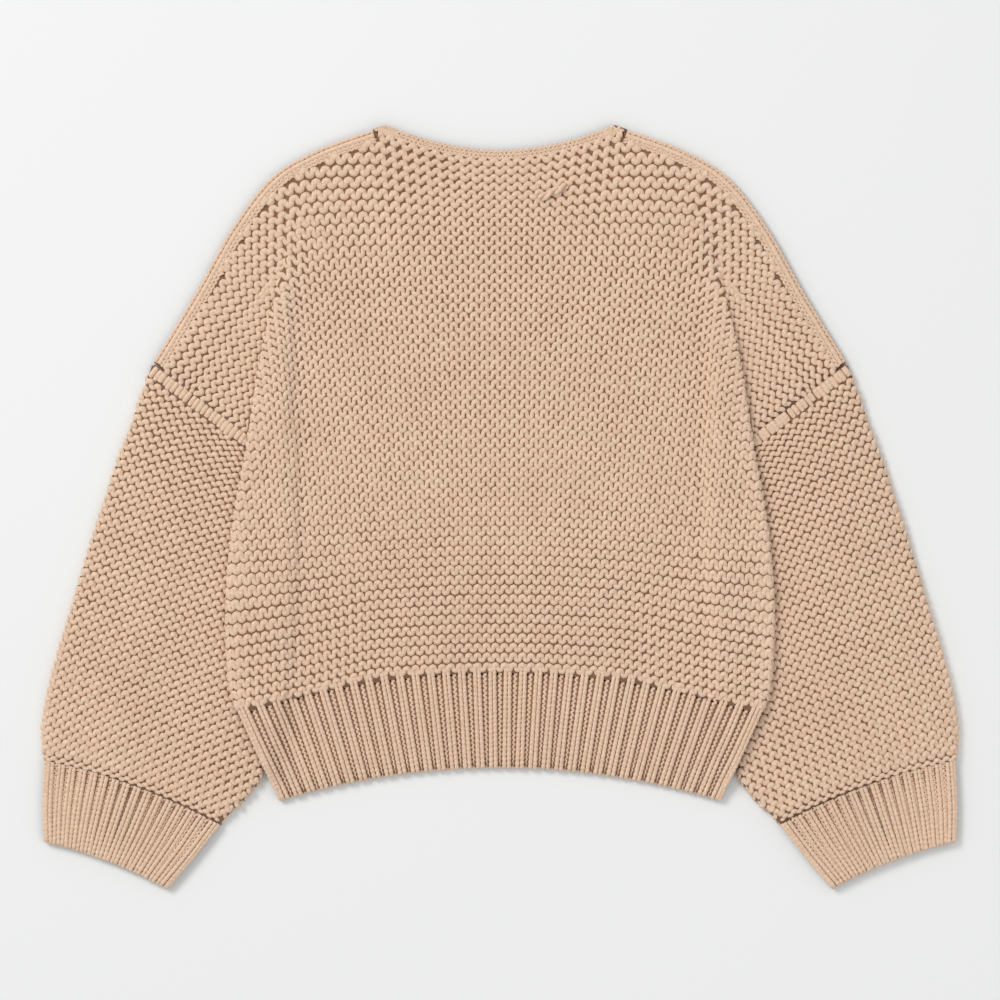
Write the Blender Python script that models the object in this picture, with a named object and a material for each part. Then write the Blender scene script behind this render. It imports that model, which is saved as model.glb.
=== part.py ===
"""A chunky knitted cardigan, laid out face down with its back to the viewer.

Knitted panels lie on each other: the fronts on the surface, the back over them.  The sleeves
are flat tubes whose inner strips are tucked under the body, so the body rises over them and
ends in a fold along each side.

Tables and sizes are millimetres as a knitter measures them: 'out' is the distance from the
centre line, 'drop' the distance below the high points of the shoulders.  +X is the viewer's
right, +Y points from the hem to the neck and +Z away from the surface.
"""
import math
from collections import namedtuple

import bmesh
import bpy
from mathutils import Vector

MM = 0.001

# Driving sizes
LENGTH = 710.8          # high shoulder point to the tip of a cuff
WALL = 4.0              # thickness of the knitted cloth
LAYER = 4.6             # from one lying layer to the next: a wall and the air over it
SEAM = 0.3              # between pieces that are sewn together
RAMP = 16.0             # width over which cloth climbs onto a layer below it
SWELL = 2.4             # how much the loose back stands off the fronts
PUFF = 2.6              # how much the top of a sleeve stands off its underside
NECK_HALF = 107.0       # centre line to a high shoulder point
NECK_DROP = 23.5        # the finished back neck below the shoulder points
FRONT_NECK_DROP = 95.0  # the finished front neck below the shoulder points
BAND_WIDTH = 28.0       # front bands
BAND_GAP = 0.5          # centre line to the edge of a front band
HEM_DROP = 598.0        # lower edge of the hem on the centre line
HEM_HALF = 206.0        # half the width of the lower edge of the hem
HEM_CORNER = 629.0      # drop of the hem's corners
RIB_HEIGHT = 1.2        # how far a rib stands proud of the valleys beside it
HEM_RIBS = 34           # ribs that show across the back hem
CUFF_RIBS = 16          # ribs that show on the upper face of a cuff
UNDERARM = (186.4, 334.7)     # out and drop of the hidden end of the armhole seam
NECK_BEND = 1.9         # power of the back neck's curve
FRONT_SEAM_DEPTH = 100.0      # the front neck's seam, from the shoulder down
LEAST_WALL = 1.6        # thinnest the cloth gets where it is pulled over a layer
FRONT_EARLY = 2.0       # how far before the sleeve's edge the fronts' climb is already done
BACK_EARLY = 7.0        # and the climb of the back's underside
BIND_OFF = 0.9          # how much the hem's last row thins
FOLD_WIDTH = 5.0        # width of the rounding along a folded edge
FOLD_DIP = 2.8          # how far the upper face comes down over that width
CREASE_DIP = 0.35       # the same on the crease, as a share of its height
CREASE_TOP = 80.0       # drop where the crease starts to rise
CREASE_RISE = 165.0     # length over which it rises
TUCK_CLEAR = 26.0       # distance from the armhole seam where the tuck is one solid
TUCK_FADE = 22.0        # and how soon it parts above that

LIFT = 2 * LAYER              # the two layers of a sleeve under the body
RADIUS = (LAYER + WALL) / 2   # outer radius of a sleeve's folded edge
HOLLOW = RADIUS - WALL        # inner radius there

# Crossings of the mesh
STEPS = 3               # sections between two rows of the back's table
SLEEVE_STEPS = 2        # rings between two rows of a sleeve's table
NECK_STEPS = 8          # crossings up the front neck
YOKE_STEPS = 5          # courses of a front from its neck to the underarm
HEM_STEPS = 5
BAND_STEPS = 14
NECK_BAND_COLUMNS = 20

# The back's sections, from the neck to the hem rib.  'out' and 'edge' are the distance and the
# drop of the section's end, on the crease above the underarm and on the side fold below it, and
# 'centre' is its drop on the centre line.
Section = namedtuple("Section", "name out edge centre")
BACK = (
    Section("neck seam",     95.0,  14.6,  33.0),
    Section("neck corner",  150.0,  49.0,  47.0),
    Section("crease top",   186.0,  85.0,  70.0),
    Section("yoke",         207.0, 150.0, 124.0),
    Section("crease",       222.5, 212.0, 196.0),
    Section("underarm",     235.3, 294.0, 276.0),
    Section("chest",        248.3, 368.0, 348.0),
    Section("waist",        255.0, 443.0, 420.0),
    Section("low",          252.4, 517.0, 483.0),
    Section("rib line",     242.7, 549.6, 511.0),
)
UNDERARM_ROW = 5

# Where the first six sections reach the shoulder, from the neck band to the shoulder tip.
Shoulder = namedtuple("Shoulder", "out drop")
SHOULDER = (
    Shoulder(119.0,   4.8),
    Shoulder(171.6,  24.2),
    Shoulder(213.0,  49.5),
    Shoulder(249.0,  96.0),
    Shoulder(283.0, 156.0),
    Shoulder(322.7, 221.3),
)

# A sleeve's rings, from the armhole to the cuff: its inner edge, tucked under the body down to
# 'lower', its outer edge, and how far the course between them bows up.
Ring = namedtuple("Ring", "name in_out in_drop out_out out_drop bow")
SLEEVE = (
    Ring("armhole",   202.4, 321.8, 325.0, 222.2, 0.0),
    Ring("upper arm", 202.0, 372.0, 341.0, 270.0, 1.5),
    Ring("arm",       202.5, 430.0, 362.0, 328.0, 3.0),
    Ring("elbow",     205.0, 490.0, 381.0, 388.0, 4.0),
    Ring("forearm",   211.5, 548.0, 400.0, 449.0, 5.0),
    Ring("lower",     222.0, 605.0, 418.5, 514.0, 6.0),
    Ring("wrist",     240.0, 631.0, 426.8, 562.0, 6.5),
    Ring("cuff line", 261.5, 653.0, 424.5, 593.0, 7.0),
)
CUFF = (
    Ring("cuff line", 261.6, 653.4, 424.6, 593.4, 7.0),
    Ring("cuff",      284.0, 682.0, 426.3, 632.0, 5.5),
    Ring("cuff edge", 309.0, 710.8, 425.0, 666.5, 4.5),
)

# Where the swell of the back fades out: 'start' is the out or drop at which it is nothing, and
# 'width' the distance to its full height, negative where that lies nearer the neck or centre.
Fade = namedtuple("Fade", "start width")
SWELL_SIDE, SWELL_TOP, SWELL_FOOT = Fade(236.0, -70.0), Fade(40.0, 80.0), Fade(590.0, -60.0)

# The puff of a sleeve, as shares across from its inner edge and as rows of its table: clear of
# the strip under the body, of the outer fold, of the armhole seam and of the cuff.
PUFF_INNER, PUFF_OUTER = Fade(0.42, 0.2), Fade(1.0, -0.15)
PUFF_TOP, PUFF_FOOT = Fade(0.0, 1.5), Fade(len(SLEEVE) - 1, -1.0)

# Soft troughs that run down the back, where the loose cloth lies closer to the fronts.
Trough = namedtuple("Trough", "name x drop half_width half_length depth")
TROUGHS = (
    Trough("left of the hem",  -126.0, 480.0, 22.0, 95.0, 1.7),
    Trough("right of the hem",  131.0, 470.0, 26.0, 110.0, 1.9),
    Trough("centre",             12.0, 500.0, 30.0, 60.0, 0.9),
    Trough("under the neck",     -8.0, 120.0, 60.0, 40.0, 0.8),
)

COLOURS = {"garter": (0.62, 0.44, 0.29, 1.0), "rib": (0.56, 0.39, 0.25, 1.0)}


def clear_scene():
    for old in list(bpy.data.objects):
        bpy.data.objects.remove(old, do_unlink=True)


def knit(name):
    """A matt wool material in one of the part's colours."""
    material = bpy.data.materials.new(name)
    material.use_nodes = True
    shader = material.node_tree.nodes["Principled BSDF"]
    shader.inputs["Base Color"].default_value = COLOURS[name]
    shader.inputs["Roughness"].default_value = 0.92
    shader.inputs["Metallic"].default_value = 0.0
    return material


def at(x, drop, z):
    """The point at a distance right of the centre line, a drop and a height."""
    return Vector((x, LENGTH / 2 - drop, z)) * MM


def smooth(t):
    t = min(max(t, 0.0), 1.0)
    return t * t * (3 - 2 * t)


def mix(a, b, t):
    return a + (b - a) * t


def faded(value, fade):
    """0 to 1 past the start of a fade."""
    return smooth((value - fade.start) / fade.width)


def glide(rows, column, t):
    """A column of a table at t, where whole numbers are its rows, on a smooth curve through them."""
    last = len(rows) - 1
    k = min(int(t), last - 1)
    f = t - k
    a, b, c, d = (getattr(rows[min(max(i, 0), last)], column) for i in range(k - 1, k + 3))
    return b + 0.5 * f * (c - a + f * (2 * a - 5 * b + 4 * c - d + f * (3 * (b - c) + d - a)))


def sleeve_edge(drop):
    """How far out the sleeve's tucked inner edge lies at a drop."""
    if drop <= SLEEVE[0].in_drop:
        return SLEEVE[0].in_out
    for upper, lower in zip(SLEEVE, SLEEVE[1:]):
        if drop <= lower.in_drop:
            share = (drop - upper.in_drop) / (lower.in_drop - upper.in_drop)
            return mix(upper.in_out, lower.in_out, share)
    return SLEEVE[-1].in_out + (drop - SLEEVE[-1].in_drop)


def above_armhole(out, drop):
    """Distance from the line of the armhole seam, positive on the side of the neck."""
    tip = SHOULDER[-1]
    along = Vector((tip.out - UNDERARM[0], tip.drop - UNDERARM[1])).normalized()
    return (out - UNDERARM[0]) * along.y - (drop - UNDERARM[1]) * along.x


def climb(out, drop, early=FRONT_EARLY):
    """0 to LIFT: how far cloth is raised on its way over the sleeve's tucked edge."""
    start = sleeve_edge(drop) - RAMP - early
    return LIFT * smooth((out - start) / RAMP)


def front_lift(out, drop):
    """Underside of the fronts: on the surface above the armhole seam, over the sleeve below it."""
    return 0.0 if above_armhole(out, drop) > -0.1 else climb(out, drop)


def back_floor(out, drop):
    """Underside of the back, clear of the fronts; the tuck above the armhole seam is one solid."""
    behind = 1 - smooth((above_armhole(out, drop) - TUCK_CLEAR) / TUCK_FADE)
    return LAYER + climb(out, drop, BACK_EARLY) * behind


def crease_height(drop):
    """How high the crease stands: nothing near the neck, and the sleeve's two layers lower down."""
    return LIFT * smooth((drop - CREASE_TOP) / CREASE_RISE)


def crease_lift(out, drop, edge_out):
    """How far the tucked fold raises the back's upper face inside the crease."""
    if drop > SLEEVE[0].in_drop:
        return climb(out, drop)
    start = min(UNDERARM[0], edge_out - RAMP)
    return crease_height(drop) * smooth((out - start) / RAMP)


def swell(x, drop):
    """How far the loose cloth of the back stands off the fronts."""
    height = SWELL
    for trough in TROUGHS:
        across = (x - trough.x) / trough.half_width
        along = (drop - trough.drop) / trough.half_length
        height -= trough.depth * math.exp(-across ** 2 - along ** 2)
    inside = faded(abs(x), SWELL_SIDE) * faded(drop, SWELL_TOP) * faded(drop, SWELL_FOOT)
    return max(height * inside, 0.0)


def near_fold(edge):
    """1 on a folded edge, falling to 0 at FOLD_WIDTH from it."""
    return (1 - min(edge / FOLD_WIDTH, 1.0)) ** 2


def wall(name, patches, material):
    """A closed wall of cloth.  Each patch is (columns, rows, place), where place(i, j) gives the
    outer and the inner point of a crossing; patches that share crossings are joined."""
    mesh = bpy.data.meshes.new(name)
    cloth = bmesh.new()
    inner = cloth.verts.layers.float_vector.new("inner")
    for columns, rows, place in patches:
        grid = bmesh.ops.create_grid(cloth, x_segments=columns, y_segments=rows, size=1.0)
        for vert in grid["verts"]:
            i = round((vert.co.x + 1) / 2 * columns)
            j = round((vert.co.y + 1) / 2 * rows)
            vert.co, vert[inner] = place(i, j)
    bmesh.ops.remove_doubles(cloth, verts=cloth.verts[:], dist=0.02 * MM)
    made = bmesh.ops.extrude_face_region(cloth, geom=cloth.faces[:], use_keep_orig=True)
    for vert in made["geom"]:
        if isinstance(vert, bmesh.types.BMVert):
            vert.co = vert[inner]
    bmesh.ops.recalc_face_normals(cloth, faces=cloth.faces[:])
    cloth.to_mesh(mesh)
    cloth.free()
    mesh.materials.append(material)
    mesh.shade_smooth()
    mesh.set_sharp_from_angle(angle=math.radians(50))
    piece = bpy.data.objects.new(name, mesh)
    bpy.data.collections["cardigan"].objects.link(piece)


# Columns of a panel from the centre (or a front band) to the side: across the flat middle, up
# the ramp over the sleeve's edge, along the strip over the sleeve and round the side fold.
MIDDLE, CLIMBING, STRIP = 6, 3, 2
LEAST_STRIP = 12.0
FOLD_OFFSETS = (FOLD_WIDTH, 1.6, 0.0)
HALF_COLUMNS = MIDDLE + CLIMBING + STRIP + len(FOLD_OFFSETS) - 1


def columns_of(start, edge_out, drop):
    """How far out each column of a section lies."""
    top = min(sleeve_edge(drop), edge_out - LEAST_STRIP)
    foot = top - RAMP
    last = edge_out - FOLD_OFFSETS[0]
    outs = [mix(start, foot, i / MIDDLE) for i in range(MIDDLE)]
    outs += [mix(foot, top, i / CLIMBING) for i in range(CLIMBING)]
    outs += [mix(top, last, i / STRIP) for i in range(STRIP)]
    return outs + [edge_out - offset for offset in FOLD_OFFSETS]


def back_section(t):
    """End, end's drop and centre drop of the section t of the back."""
    return tuple(glide(BACK, column, t) for column in ("out", "edge", "centre"))


def shoulder_at(t):
    """Out and drop of the shoulder at row t of its table."""
    return Vector((glide(SHOULDER, "out", t), glide(SHOULDER, "drop", t)))


def crease_face(x, out, drop, edge_out, floor):
    """Upper face of the back inside the crease and the side fold, always above its floor."""
    top = LAYER + WALL + crease_lift(out, drop, edge_out) + swell(x, drop)
    top -= crease_height(drop) * CREASE_DIP * near_fold(edge_out - out)
    return max(top, floor + LEAST_WALL)


def yoke_shares(reach):
    """Crossings from the crease to the shoulder, with a close one inside each end."""
    return 0.0, 2.6 / reach, 0.28, 0.52, 0.76, 1 - 4.0 / reach, 1.0


def back_panel(material):
    def body(i, j):
        t = j / STEPS
        edge_out, edge, centre = back_section(t)
        side = 1 if i >= HALF_COLUMNS else -1
        out = columns_of(0.0, edge_out, edge)[abs(i - HALF_COLUMNS)]
        drop = mix(centre, edge, (out / edge_out) ** 2)
        floor = back_floor(out, drop) + swell(side * out, drop)
        top = crease_face(side * out, out, drop, edge_out, floor)
        return at(side * out, drop, top), at(side * out, drop, floor)

    def yoke(side):
        """The cloth beyond the crease, out to the shoulder and down to the armhole seam."""
        def place(i, j):
            if i == 0:
                return body(HALF_COLUMNS * (1 + side), j)
            edge_out, edge, _ = back_section(j / STEPS)
            crease = Vector((edge_out, edge))
            shoulder = shoulder_at(j / STEPS)
            reach = (shoulder - crease).length
            share = yoke_shares(reach)[i]
            spot = crease.lerp(shoulder, share)
            top = LAYER + WALL - FOLD_DIP * near_fold((1 - share) * reach)
            return at(side * spot.x, spot.y, top), at(side * spot.x, spot.y, LAYER)
        return 6, UNDERARM_ROW * STEPS, place

    rows = (len(BACK) - 1) * STEPS
    wall("back", [(2 * HALF_COLUMNS, rows, body), yoke(-1), yoke(1)], material)


def front_neck(angle, across):
    """The front neck, from the centre line at 0 to the shoulder at a right angle: the seam
    where across is 0 and the finished edge where it is 1."""
    half = mix(SHOULDER[0].out, NECK_HALF, across)
    top = mix(SHOULDER[0].drop, 0.0, across)
    depth = mix(FRONT_SEAM_DEPTH, FRONT_NECK_DROP, across)
    return Vector((half * math.sin(angle), top + depth * math.cos(angle)))


def neck_angles():
    """Where the front neck has its crossings, from the front band's seam up to the shoulder."""
    first = math.asin((BAND_WIDTH + SEAM) / SHOULDER[0].out)
    return [mix(first, math.pi / 2, k / NECK_STEPS) for k in range(NECK_STEPS + 1)]


def front_panel(name, side, material):
    start = BAND_WIDTH + SEAM
    yoke_rows = NECK_STEPS + YOKE_STEPS
    angles = neck_angles()[::-1]
    band_top = front_neck(angles[-1], 0.0)
    band_low = Vector((start, back_section(UNDERARM_ROW)[2]))
    underarm = Vector(UNDERARM)
    tip = shoulder_at(len(SHOULDER) - 1)

    def lying(spot, edge_turn=0.0):
        lift = front_lift(spot.x, spot.y)
        return at(side * spot.x, spot.y, lift + edge_turn), at(side * spot.x, spot.y, lift + WALL)

    def yoke(i, j):
        """Courses from the shoulder line down to the one that meets the underarm."""
        if j <= NECK_STEPS:
            inner = front_neck(angles[j], 0.0)
        else:
            inner = band_top.lerp(band_low, (j - NECK_STEPS) / YOKE_STEPS)
        low = j / yoke_rows
        share = i / MIDDLE
        shoulder = shoulder_at(share * (len(SHOULDER) - 1))
        bulge = shoulder - shoulder_at(0).lerp(tip, share)
        return lying(inner.lerp(tip.lerp(underarm, low), share) + bulge * (1 - low) ** 1.5)

    def below(i, j):
        """Sections from the underarm to the hem; the first follows the armhole seam outwards."""
        edge_out, edge, centre = back_section(UNDERARM_ROW + j / STEPS)
        out = columns_of(start, edge_out, edge)[i]
        if out <= underarm.x:
            kinked = mix(centre, underarm.y, (out - start) / (underarm.x - start))
        else:
            kinked = mix(underarm.y, edge, (out - underarm.x) / (edge_out - underarm.x))
        curved = mix(centre, edge, (out / edge_out) ** 2)
        spot = Vector((out, mix(curved, kinked, max(1 - j / STEPS, 0.0))))
        if j == 0 and i > MIDDLE:
            spot += Vector((SEAM, 2 * SEAM))
        return lying(spot, FOLD_DIP / 2 * near_fold(edge_out - out))

    rows = (len(BACK) - 1 - UNDERARM_ROW) * STEPS
    wall(name, [(MIDDLE, yoke_rows, yoke), (HALF_COLUMNS, rows, below)], material)


def hem_section(t):
    """End, end's drop and centre drop of the hem, from the rib seam at 0 to the edge at 1."""
    rib = BACK[-1]
    edge = mix(rib.edge + SEAM, HEM_CORNER, t)
    centre = mix(rib.centre + SEAM, HEM_DROP, t)
    return mix(rib.out, HEM_HALF, t), edge, centre


def hem_drop(out, t):
    edge_out, edge, centre = hem_section(t)
    return mix(centre, edge, (out / edge_out) ** 2)


def rib_height(k):
    """Three points to a rib: a valley and the two shoulders of the ridge."""
    return 0.0 if k % 3 == 0 else RIB_HEIGHT


def rib_share(k, ribs):
    """How far across a rib's point k lies; the valley is narrower than the ridge."""
    return (k // 3 + (0.0, 0.27, 0.73)[k % 3]) / ribs


def back_hem(material):
    """A band of ribs that fan in towards the hem's corners."""
    def place(i, j):
        t = j / HEM_STEPS
        edge_out, _, _ = hem_section(t)
        x = edge_out * (2 * rib_share(i, HEM_RIBS) - 1)
        drop = hem_drop(abs(x), t)
        floor = back_floor(abs(x), drop) + swell(x, drop)
        top = LAYER + WALL - RIB_HEIGHT + climb(abs(x), drop) + swell(x, drop) + rib_height(i)
        top -= FOLD_DIP * near_fold(edge_out - abs(x)) + (BIND_OFF if j == HEM_STEPS else 0.0)
        return at(x, drop, max(top, floor + LEAST_WALL)), at(x, drop, floor)

    wall("hem_rib_back", [(3 * HEM_RIBS, HEM_STEPS, place)], material)


def front_hem(name, side, material):
    """The hem's hidden half, plain on the face that lies down."""
    def place(i, j):
        t = j / HEM_STEPS
        edge_out, edge, _ = hem_section(t)
        out = columns_of(BAND_WIDTH + SEAM, edge_out, edge)[i]
        drop = hem_drop(out, t)
        lift = climb(out, drop)
        return at(side * out, drop, lift), at(side * out, drop, lift + WALL)

    wall(name, [(HALF_COLUMNS, HEM_STEPS, place)], material)


def front_band(name, side, material):
    """The plain band down a front edge, from the neck band to the lower edge of the hem."""
    def place(i, j):
        out = mix(BAND_GAP, BAND_WIDTH, i / 2)
        top = front_neck(math.asin(out / SHOULDER[0].out), 0.0).y + SEAM
        drop = mix(top, hem_drop(out, 1.0), j / BAND_STEPS)
        return at(side * out, drop, 0.0), at(side * out, drop, WALL)

    wall(name, [(2, BAND_STEPS, place)], material)


def back_neck_band(material):
    """A narrow band that stands up from the back's neck seam."""
    def place(i, j):
        share = 2 * i / NECK_BAND_COLUMNS - 1
        bend = 1 - abs(share) ** NECK_BEND
        seam_drop = mix(SHOULDER[0].drop, BACK[0].centre, bend) - 2 * SEAM
        seam = Vector(((SHOULDER[0].out - SEAM) * share, seam_drop))
        edge = Vector((NECK_HALF * share, NECK_DROP * bend))
        spot = seam.lerp(edge, j / 2)
        return at(spot.x, spot.y, LAYER + WALL - 0.5 * j), at(spot.x, spot.y, LAYER)

    wall("neck_band_back", [(NECK_BAND_COLUMNS, 2, place)], material)


def front_neck_band(name, side, material):
    """The same band along a front's lower neckline, under the back."""
    over_band = [math.asin(out / SHOULDER[0].out) for out in (BAND_GAP, BAND_WIDTH / 2)]
    angles = over_band + neck_angles()
    seam_share = 0.04

    def place(i, j):
        spot = front_neck(angles[i], mix(seam_share, 1.0, j / 2))
        x = side * max(spot.x, BAND_GAP)
        return at(x, spot.y, 0.0), at(x, spot.y, WALL)

    wall(name, [(len(angles) - 1, 2, place)], material)


def tube(name, side, rings, loop, material):
    """A flattened tube through a table of rings.  The loop gives, for each point round it, its
    share across, the turn round a folded edge and whether it lies on top, with its rib."""
    def place(i, j):
        t = j / SLEEVE_STEPS
        inner_end = Vector((glide(rings, "in_out", t), glide(rings, "in_drop", t)))
        outer_end = Vector((glide(rings, "out_out", t), glide(rings, "out_drop", t)))
        bow = glide(rings, "bow", t)
        reach = (outer_end - inner_end).length
        across = (outer_end - inner_end).normalized()
        share, turn, rib = loop[i % len(loop)]
        run = mix(RADIUS, reach - RADIUS, share)
        along = 4 * share * (1 - share)
        spot = inner_end + across * run + Vector((0.0, -bow * along))
        lifted = puff(share, t) if math.sin(turn) > 0 and rings is SLEEVE else 0.0
        points = []
        for radius, raised in ((RADIUS, rib), (HOLLOW, 0.0)):
            turned = spot + across * (math.cos(turn) * radius)
            z = RADIUS + math.sin(turn) * radius + lifted + raised
            points.append(at(side * turned.x, turned.y, z))
        return points

    wall(name, [(len(loop), (len(rings) - 1) * SLEEVE_STEPS, place)], material)


def puff(share, t):
    """How far the top of a sleeve stands off its underside."""
    across = faded(share, PUFF_INNER) * faded(share, PUFF_OUTER)
    return PUFF * across * faded(t, PUFF_TOP) * faded(t, PUFF_FOOT)


def stadium(top, low_points):
    """Points round a flattened tube, (share across, turn, rib height), from its upper ones."""
    quarter = math.pi / 2
    inner_fold = [(0.0, 3 * quarter - k * quarter / 2, 0.0) for k in range(5)]
    outer_fold = [(1.0, quarter - k * quarter / 2, 0.0) for k in range(5)]
    low = [(1 - k / (low_points + 1), -quarter, 0.0) for k in range(1, low_points + 1)]
    return inner_fold + [(share, quarter, rib) for share, rib in top] + outer_fold + low


def plain_top(points):
    return [(k / (points + 1), 0.0) for k in range(1, points + 1)]


def ribbed_top(ribs):
    middle = RIB_HEIGHT / 2
    return [(rib_share(k, ribs), rib_height(k) - middle) for k in range(1, 3 * ribs)]


def build():
    clear_scene()
    collection = bpy.data.collections.new("cardigan")
    bpy.context.scene.collection.children.link(collection)
    garter, rib = knit("garter"), knit("rib")
    back_panel(garter)
    back_hem(rib)
    back_neck_band(rib)
    for word, side in (("left", -1), ("right", 1)):
        front_panel("front_" + word, side, garter)
        front_hem("hem_rib_front_" + word, side, rib)
        front_band("front_band_" + word, side, rib)
        front_neck_band("neck_band_front_" + word, side, rib)
        tube("sleeve_" + word, side, SLEEVE, stadium(plain_top(9), 5), garter)
        tube("cuff_" + word, side, CUFF, stadium(ribbed_top(CUFF_RIBS), 9), rib)


build()
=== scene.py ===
# %% [markdown]
# # A chunky garter-stitch cardigan, laid out face down
#
# The garment lies flat with its back to us.  Its knitted panels come from the frame; this
# lesson puts the yarn on them.  Garter stitch is a pattern of ridges: in each ridge one strand
# of yarn swings up and down, and the ridges sit so close that only small dark gaps show.

# %% The frame
import math
from collections import namedtuple

import bmesh
import bpy
import numpy as np
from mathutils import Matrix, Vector
from mathutils.bvhtree import BVHTree


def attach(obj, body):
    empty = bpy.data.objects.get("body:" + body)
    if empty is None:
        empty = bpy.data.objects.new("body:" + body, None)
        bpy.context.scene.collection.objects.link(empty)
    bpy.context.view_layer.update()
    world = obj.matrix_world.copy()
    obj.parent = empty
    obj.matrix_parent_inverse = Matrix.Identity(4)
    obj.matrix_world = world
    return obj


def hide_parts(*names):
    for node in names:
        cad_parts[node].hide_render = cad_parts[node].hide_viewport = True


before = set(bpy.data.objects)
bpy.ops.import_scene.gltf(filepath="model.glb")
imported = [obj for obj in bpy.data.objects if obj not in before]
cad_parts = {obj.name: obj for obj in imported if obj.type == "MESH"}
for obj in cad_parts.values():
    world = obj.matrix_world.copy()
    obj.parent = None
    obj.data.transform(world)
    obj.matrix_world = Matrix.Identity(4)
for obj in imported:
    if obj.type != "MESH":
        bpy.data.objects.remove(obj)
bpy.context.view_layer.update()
MM = 0.001

# %% [markdown]
# ## Camera, floor and light
#
# The garment lies on white paper and is seen from straight above.  A flat, parallel view could
# be had from an orthographic camera, but a long lens from three metres keeps the slight
# perspective of a real catalogue picture.  One large lamp from the upper left models the
# ridges, and a pale sky fills the gaps, so the shadow at the lower right stays soft.  Several
# small lamps would give a shadow each, which a white table in a studio doesn't show.

# %% Camera
CAMERA_HEIGHT = 3.0
MIDDLE_HEIGHT = 0.012       # of the cloth, where the picture's width is measured
FRAME_WIDTH = 0.93          # metres that the picture takes in at that height
CENTRE_Y = 0.00605          # the picture's middle lies a little above the garment's

camera_data = bpy.data.cameras.new("camera")
camera_data.sensor_width = 36.0
camera_data.lens = camera_data.sensor_width * (CAMERA_HEIGHT - MIDDLE_HEIGHT) / FRAME_WIDTH
camera = bpy.data.objects.new("camera", camera_data)
camera.location = (0.0, CENTRE_Y, CAMERA_HEIGHT)
bpy.context.scene.collection.objects.link(camera)
bpy.context.scene.camera = camera
print("lens", round(camera_data.lens, 1), "mm")

# %% Floor
FLOOR_HALF = 4.0
floor_mesh = bpy.data.meshes.new("floor")
slab = bmesh.new()
bmesh.ops.create_grid(slab, x_segments=1, y_segments=1, size=FLOOR_HALF)
slab.to_mesh(floor_mesh)
slab.free()
floor = bpy.data.objects.new("floor", floor_mesh)
bpy.context.scene.collection.objects.link(floor)
print("a floor", 2 * FLOOR_HALF, "metres wide")

# %% Lamps and sky
Lamp = namedtuple("Lamp", "name place size power")
LAMPS = (
    Lamp("key", (-3.2, 2.9, 3.9), 2.1, 165.0),
    Lamp("fill", (1.4, -1.0, 2.4), 2.2, 10.0),
)
SKY = (0.965, 0.975, 0.99, 1.0)
SKY_STRENGTH = 0.60


def add_lamp(lamp):
    """A square soft lamp that faces the middle of the garment."""
    data = bpy.data.lights.new(lamp.name, "AREA")
    data.size = lamp.size
    data.energy = lamp.power
    made = bpy.data.objects.new(lamp.name, data)
    made.location = lamp.place
    made.rotation_euler = (-made.location).to_track_quat("-Z", "Y").to_euler()
    bpy.context.scene.collection.objects.link(made)


for lamp in LAMPS:
    add_lamp(lamp)
world = bpy.data.worlds.new("sky")
world.use_nodes = True
background = world.node_tree.nodes["Background"]
background.inputs["Color"].default_value = SKY
background.inputs["Strength"].default_value = SKY_STRENGTH
bpy.context.scene.world = world
bpy.context.scene.view_settings.view_transform = "Standard"
print(len(LAMPS), "lamps and a sky")

# %% [markdown]
# ## A short way to write materials
#
# A material is a tree of nodes.  It could be wired by hand in the editor, or node by node in
# code, but shader maths reads best as arithmetic.  The class below wraps a node's socket, so
# that `1 - mask * 0.5` adds the Math nodes for us.

# %% Sockets that do arithmetic
class Value:
    """A shader socket that takes part in Python expressions."""

    def __init__(self, tree, socket):
        self.tree = tree
        self.socket = socket

    def math(self, operation, other, swapped=False):
        pair = (other, self) if swapped else (self, other)
        return add_node(self.tree, "ShaderNodeMath", {"operation": operation}, dict(enumerate(pair)))

    def __add__(self, other):
        return self.math("ADD", other)

    def __sub__(self, other):
        return self.math("SUBTRACT", other)

    def __mul__(self, other):
        return self.math("MULTIPLY", other)

    def __rsub__(self, other):
        return self.math("SUBTRACT", other, swapped=True)

    __radd__ = __add__
    __rmul__ = __mul__


def add_node(tree, kind, settings=None, inputs=None, output=0):
    """Adds a node, sets its settings, then fills its sockets with values or links."""
    node = tree.nodes.new(kind)
    for name, value in (settings or {}).items():
        setattr(node, name, value)
    for name, value in (inputs or {}).items():
        if isinstance(value, Value):
            tree.links.new(value.socket, node.inputs[name])
        else:
            node.inputs[name].default_value = value
    return Value(tree, node.outputs[output])


print("a Value class and add_node")

# %% [markdown]
# ## The yarn
#
# It is a soft matt wool blend.  Three things vary over it: a slow drift of tone from dye and
# handling, a fine mottle and finer fibres.  They could be painted, but noise at three scales
# follows any shape and needs no picture.  The mottle and the fibres also raise a bump, and so
# do the plies, which turn round the yarn: those read a UV map that runs along each strand.
# The inner cloth is the same wool, in a dark brown of painted shade for the gaps between stitches.

# %% Yarn, and cloth in painted gap shade
YARN = (0.64, 0.43, 0.29, 1.0)
YARN_LIGHT = (0.95, 0.72, 0.54, 1.0)
PAINTED_GAP_SHADE = (0.22, 0.112, 0.063, 1.0)
PAINTED_GAP_SHADE_PALE = (0.30, 0.165, 0.10, 1.0)
PLY = 3.2                        # millimetres of yarn for one turn of its plies
DRIFT_SCALE, MOTTLE_SCALE, FIBRE_SCALE = 14.0, 300.0, 1100.0  # of the noises, for a metre
CONTRAST = 2.2                   # spreads the summed noises over the two tones
BUMP = 0.7
MATT = 0.9                       # roughness of wool and paper


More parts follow.
